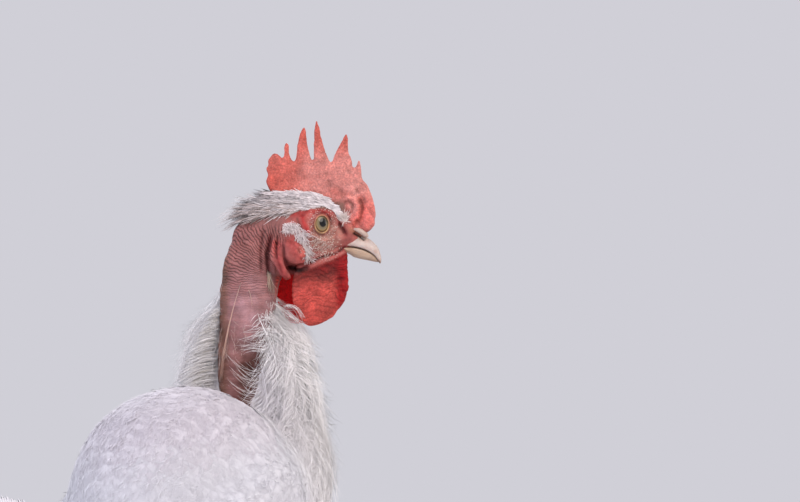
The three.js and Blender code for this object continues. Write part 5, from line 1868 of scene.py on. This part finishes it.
def hairPaths(roots, normals, lie, length, rise, steps, seed, wild=0.12, settle=1.6):
    # a strand runs along `lie` in the skin's plane and stands off it by rise·t^settle of its length
    draw = np.random.default_rng(seed)
    n = len(roots)
    lie = unit(lie + draw.normal(0, wild, lie.shape))
    lie = unit(lie - normals * (lie * normals).sum(1, keepdims=True))
    t = np.linspace(0, 1, steps)[None, :, None]
    bend = draw.normal(0, wild, (n, 1, 3))
    length = length[:, None, None]
    run = lie[:, None] * t + normals[:, None] * (rise[:, None, None] * t ** settle) + bend * t ** 2
    return roots[:, None] + length * run - normals[:, None] * 0.3


def strandTaper(count, steps, radius):
    # radius·sin(π·(0.2 + 0.72·t))^0.7: thickest before the middle, thin at the tip
    t = np.linspace(0, 1, steps)
    return np.broadcast_to(radius, (count,))[:, None] * np.sin(math.pi * (0.2 + 0.72 * t)) ** 0.7


# ahead, lower edge of the cap; ahead, its upper edge
capLow = ([6, 14, 30, 44, 50, 58, 63, 67, 71], [4.5, 4.6, 6.6, 8.4, 9.8, 9.8, 7.2, 3.4, -1])
capHigh = ([46, 50, 55, 61, 66, 71], [19, 18.5, 17.5, 14.5, 10.5, 3.5])


def capShare(h):
    # where the cap grows: between its two edges, a third less at the rear
    f, level = h[:, 0], h[:, 2]
    edge = np.interp(f, *capLow) + 1.5 + 1.4 * noise(h, 4.0, 42)
    within = (level > edge) & (level < np.interp(f, *capHigh)) & (f > 5) & (f < 71.5)
    return within * (0.65 + 0.35 * smooth(f, 14, 34))


capShape = {"count": 1500, "lock": 7, "steps": 6, "length": (12, 24), "radius": 0.3,
            "white": "#eee2e4", "edge": "#916f5f", "dark": "#46332b"}


def capPaths():
    # locks run straight back over the skull and part from it behind: root + length·(lie·t + droop·t²)
    s = capShape
    draw = np.random.default_rng(101)
    roots, normals = sampleSkin(capShare, s["count"], 102)
    f, side, level = roots[:, 0], np.sign(roots[:, 1]), roots[:, 2]
    rear, front = smooth(f, 34, 8), smooth(f, 52, 68)
    lie = np.stack([-np.ones(len(f)), side * (0.1 - 0.16 * rear),
                    0.05 + 0.5 * front - 0.1 * smooth(level, 11, 6)], 1)
    lie += draw.normal(0, 0.07, lie.shape) * [1, 1, 1.3]
    lie[:, 2] += rear * draw.uniform(-0.42, 0.3, len(f)) + 0.03 * (level - 9)
    # locks along the lower edge hang over it
    hem = smooth(level - np.interp(f, *capLow), 6.5, 1.5) * smooth(f, 58, 46)
    lie[:, 2] -= hem * draw.uniform(0, 0.5, len(f))
    lie = unit(lie + normals * (0.14 + 0.14 * draw.random((len(f), 1))))
    length = mix(*s["length"], rear) * draw.uniform(0.75 - 0.3 * rear, 1.25)
    length = (length * (1 - 0.45 * front))[:, None, None, None]
    t = np.linspace(0, 1, s["steps"])[None, None, :, None]
    curve = draw.normal(0, 0.07, (len(f), 1, 1, 3)) + [0, 0, -0.1]
    # the strands of a lock start apart and close towards its tip
    fan = draw.normal(0, 1, (len(f), s["lock"], 1, 3)) * [0.6, 0.5, 0.85]
    stray = draw.normal(0, 0.05, (len(f), s["lock"], 1, 3)) * t ** 2 * length
    share = draw.uniform(0.7, 1.0, (len(f), s["lock"], 1, 1))
    run = share * length * (lie[:, None, None] * t + curve * t ** 2)
    paths = roots[:, None, None] + fan * (1.0 - 0.65 * t) + run + stray
    return paths.reshape(-1, s["steps"], 3), *(np.repeat(v, s["lock"], axis=0) for v in (roots, normals))


paths, roots, facing = capPaths()
paths, facing = fromHead(paths), (fromHead(facing) - neckAxis)[:, None]
for i, part in enumerate(np.array_split(np.arange(len(paths)), 2)):
    s, count = capShape, len(part)
    made = strands(paths[part], strandTaper(count, s["steps"], s["radius"]), 0.45, facing[part])
    draw = np.random.default_rng(104 + i)
    lock = draw.uniform(0.84, 1.14, (math.ceil(count / s["lock"]) + 1, 1))
    tone = linear(s["white"]) * np.repeat(lock, s["lock"], axis=0)[:count]
    # painted shade: a lower edge of brown, with some dark strands in it for the shade between the locks, half
    # as much on the left
    f, out, level = roots[part].T
    low = smooth(level + draw.normal(0, 2.6, count), 14, 6) * smooth(f, 62, 34) * np.where(out > 0, 0.5, 1)
    tone = tinted(tone, s["edge"], low * 0.7)
    tone = tinted(tone, s["dark"], (draw.random(count) < 0.26) * low * 0.9)
    coatPiece(f"headCap_{i + 1}", made, tone, downMaterial, *(["head_cap"] if i == 0 else []))


def tuftPiece(name, share, count, lie, length, radius, rise, steps, seed, code, wild):
    # single bristles on the skin, as often as `share` says, along `lie`, mirrored on the left
    draw = np.random.default_rng(seed)
    roots, normals = sampleSkin(share, count, seed)
    lie = lie(roots) if callable(lie) else np.tile(np.array(lie, float), (count, 1))
    lie = unit(lie * np.stack([np.ones(count), np.sign(roots[:, 1]), np.ones(count)], 1))
    length, rise = draw.uniform(*length, count), draw.uniform(*rise, count)
    paths = fromHead(hairPaths(roots, normals, lie, length, rise, steps, seed + 1, wild))
    made = strands(paths, strandTaper(count, steps, radius), 0.5, (fromHead(normals) - neckAxis)[:, None])
    coatPiece(name, made, linear(code) * draw.uniform(0.85, 1.05, (count, 1)), downMaterial)


def onSide(h):
    # off the middle line of the head
    return np.abs(h[:, 1]) > 8


def alongLine(h, points, width):
    # within a ragged width of a line on the side of the head
    reach = width * (0.75 + 0.5 * np.abs(noise(h, 3.0, 41)))
    return (lineDistance(h[:, [0, 2]], points)[0] < reach) * onSide(h)


def earShare(h):
    # a patch over the ear, and a thinner strip under it
    top = alongLine(h, [(30.5, -1.5), (35, -2.5), (39.5, -8)], 3.6)
    return np.maximum(top, 0.5 * alongLine(h, [(40, -9), (42.8, -16), (44.5, -23)], 2.2))


def cheekShare(h):
    # an ellipse on the cheek, thinning towards its edge
    return smooth(np.hypot((h[:, 0] - 53.5) / 12, (h[:, 2] + 17.5) / 7.5), 1.1, 0.5) * onSide(h)


def cheekLie(r):
    # backwards and down, and more level towards the front
    return np.stack([-0.7 * np.ones(len(r)), 0 * r[:, 0], -0.75 + 0.5 * smooth(r[:, 0], 40, 60)], 1)


def foreheadShare(h):
    # the forehead, between the eye and the comb
    return alongLine(h, [(58, 14), (66, 10), (71, 3)], 3.4) + 0.3 * alongLine(h, [(60, 20), (67, 16)], 5)


def lidShare(h):
    # a ring about the eye
    away = np.hypot((h[:, 0] - 54.3) / 4.6, (h[:, 2] + 0.6) / 5.8)
    return onSide(h) * smooth(away, 2.6, 1.5) * (away > 1.3)


def lidLie(r):
    # away from a place just above the eye's middle
    return np.stack([r[:, 0] - 54.3, 0 * r[:, 0], r[:, 2] + 0.6 - 4], 1)


def neckShare(h):
    # the foot of the neck, behind the throat
    return smooth(h[:, 2], -60, -85) * (h[:, 0] < 22)


# name, where, count, direction, length, radius, rise, steps, seed, colour, wildness
tufts = [
    ("earTufts", earShare, 2000, (0.45, 0.05, -0.9), (3.5, 7), 0.2, (0.1, 0.35), 5, 111, "#e7d5d4", 0.34),
    ("cheekBristles", cheekShare, 1100, cheekLie, (1.6, 3.6), 0.12, (0.15, 0.5), 4, 121, "#cbb0a5", 0.35),
    ("foreheadBristles", foreheadShare, 760,
     (0.1, 0.2, 1), (4, 10), 0.14, (0.1, 0.5), 5, 131, "#f6e2dc", 0.4),
    ("lidBristles", lidShare, 320, lidLie, (0.8, 1.7), 0.14, (0.3, 0.7), 4, 141, "#e6d3c8", 0.3),
    ("neckHairs", neckShare, 260, (0.1, 0.1, -1.0), (6, 17), 0.11, (0.02, 0.16), 6, 151, "#cdb0a4", 0.3)]
for row in tufts:
    tuftPiece(*row)

# Single wisps, in the head's frame: root, middle, tip, how many, how far apart, radius, colour.
wisps = {
    "overNeck": ((25, -15, -78), (14, -21, -75), (1, -22, -79), 16, 2.4, 0.16, "#f6eeee"),
    "overNeckLow": ((25, -16, -90), (12, -22, -86), (-1, -22, -87), 16, 2.6, 0.16, "#f6eeee"),
    "overNeckUp": ((25, -13, -70), (17, -19.5, -66), (9, -21, -69), 9, 1.8, 0.14, "#f6eeee"),
    "shoulderFall": ((27, -18, -84), (19, -23, -96), (17, -24, -114), 26, 3.6, 0.16, "#f4eaea"),
    "sideFall": ((29, -20, -96), (20, -26, -108), (14, -28, -126), 26, 4.0, 0.16, "#f4eaea"),
    "longHair": ((-1.4, -18.9, -40), (-11.5, -16.6, -76), (-17.6, -9.5, -117), 5, 0.45, 0.17, "#d9a994"),
    "shortHair": ((2, -18.4, -42), (5, -18.8, -50), (6.5, -19, -58), 3, 0.5, 0.13, "#d9a994"),
    "throat": ((17, -13.5, -35), (18.5, -14, -42), (20, -13, -51), 26, 1.7, 0.15, "#85523a"),
    "throatPale": ((16.5, -14.5, -34), (17.5, -15, -41), (18, -14.5, -48), 14, 1.5, 0.15, "#c9a78c"),
    "wattleCurl": ((27, -15, -58.5), (36, -16.5, -59), (42, -16, -68), 9, 0.9, 0.17, "#f4ebe8"),
    "wattleCurlLow": ((29, -12, -62), (34, -14, -66), (41, -14, -72), 12, 1.4, 0.16, "#f4ebe8"),
    "nape": ((8, 0, 6), (-6, 0, 6), (-17, -2, -1), 26, 3.0, 0.15, "#e9dedd"),
}
fan = {"from": (20, -21, -100), "to": (9, -25, -140), "barbs": 22, "reach": (-31, -16), "sag": -4.5,
       "rise": 9.0}
veil = {"count": 760, "from": -18.0, "top": -60.0, "bottom": -122.0, "slope": 0.36, "arch": 0.1,
        "radius": 0.17,
        # levels, and how far back the veil reaches at each
        "edge": ([-122, -118, -100, -79, -66, -58], [-50, -49, -47, -38, -27, -20])}


def parabola(a, b, c, t):
    # a·(1-t)² + 2·b·t(1-t) + c·t²
    return a * (1 - t) ** 2 + 2 * b * t * (1 - t) + c * t ** 2


def wispPaths():
    # the wisps of the table, one fanned feather, and the veil behind the neck
    draw = np.random.default_rng(161)
    t = np.linspace(0, 1, 8)[None, :, None]
    paths, radii, tones = [], [], []
    for root, middle, tip, count, apart, radius, code in wisps.values():
        # the curve passes through its three places, give or take a draw for each strand
        a, b, c = (np.array(q, float) for q in (root, middle, tip))
        jitter = draw.normal(0, apart, (3, count, 1, 3)) * np.array([0.6, 1.0, 1.3])[:, None, None, None]
        jitter = jitter * [1, 0.25, 1]
        paths.append(parabola(a + jitter[0], 2 * b - (a + c) / 2 + jitter[1], c + jitter[2], t))
        radii.append(np.full(count, radius) * draw.uniform(0.7, 1.2, count))
        tones.append(linear(code) * draw.uniform(0.8, 1.05, (count, 1)))
    # the barbs of one loose feather, fanned across the foot of the neck
    n = fan["barbs"]
    share = np.linspace(0, 1, n)[:, None, None]
    a = mix(np.array(fan["from"], float), np.array(fan["to"]), share)
    reach = mix(*fan["reach"], share)
    drop = fan["rise"] * (1 - 1.3 * share)
    for k in range(3):
        shift = draw.normal(0, 1.0, (n, 1, 3))
        turned = draw.normal(0, 3.2, (n, 1, 1)) + 2.5 * np.sin(5 * share + k)
        fall = (drop + turned) * t ** 2 + 4 * fan["sag"] * t * (1 - t)
        way = np.concatenate([reach * t, 0 * t * share, fall], -1)
        line = a + shift + way * draw.uniform(0.45, 1.15, (n, 1, 1))
        # set against the neck, which is round
        round2 = np.maximum(21.5 ** 2 - line[..., 0] ** 2, 8.0)
        line[..., 1] = -np.sqrt(round2) - 3.5 * share[..., 0] - 0.5 * k
        paths.append(line)
        radii.append(np.full(n, 0.17))
        tones.append(linear("#efe4e0") * draw.uniform(0.8, 1.05, (n, 1)))
    # behind the neck the far half of the ruff shows its inner side: barbs that run back and sink
    n = veil["count"]
    level = draw.uniform(veil["bottom"], veil["top"], n)
    end = np.interp(level, *veil["edge"]) * draw.uniform(0.72, 1.03, n)
    start = veil["from"] + draw.uniform(-3, 2, n) + (end - veil["from"]) * draw.uniform(0, 0.35, n)
    deep = draw.uniform(-9, 3, n)
    run = start - end
    a = np.stack([start, deep, level], 1)[:, None]
    c = np.stack([end, deep - 2, level - veil["slope"] * run], 1)[:, None]
    b = (a + c) / 2 + [0, 0, 1] * (2 * veil["arch"] * run)[:, None, None]
    paths.append(parabola(a, b, c, t))
    radii.append(np.full(n, veil["radius"]))
    tone = np.tile(linear("#fffaf8"), (n, 1))
    # painted shade: about a fifth of the veil's barbs are darker, for the shading lines in the far half of
    # the ruff
    tones.append(tinted(tone, "#a89d8c", (draw.random(n) < 0.22) * 0.8) * draw.uniform(0.85, 1.0, (n, 1)))
    return fromHead(np.concatenate(paths)), np.concatenate(radii), np.concatenate(tones)


paths, radii, tone = wispPaths()
taper = np.sin(math.pi * (0.25 + 0.68 * np.linspace(0, 1, 8))) ** 0.7
made = strands(paths, radii[:, None] * taper, 0.8, plain=np.ones(len(paths), bool))
coatPiece("looseWisps", made, tone, downMaterial)
print("small feathers made")

total = sum(len(o.data.loop_triangles) or len(o.data.polygons) for o in bpy.data.objects if o.type == "MESH")
print("all pieces:", total, "faces")
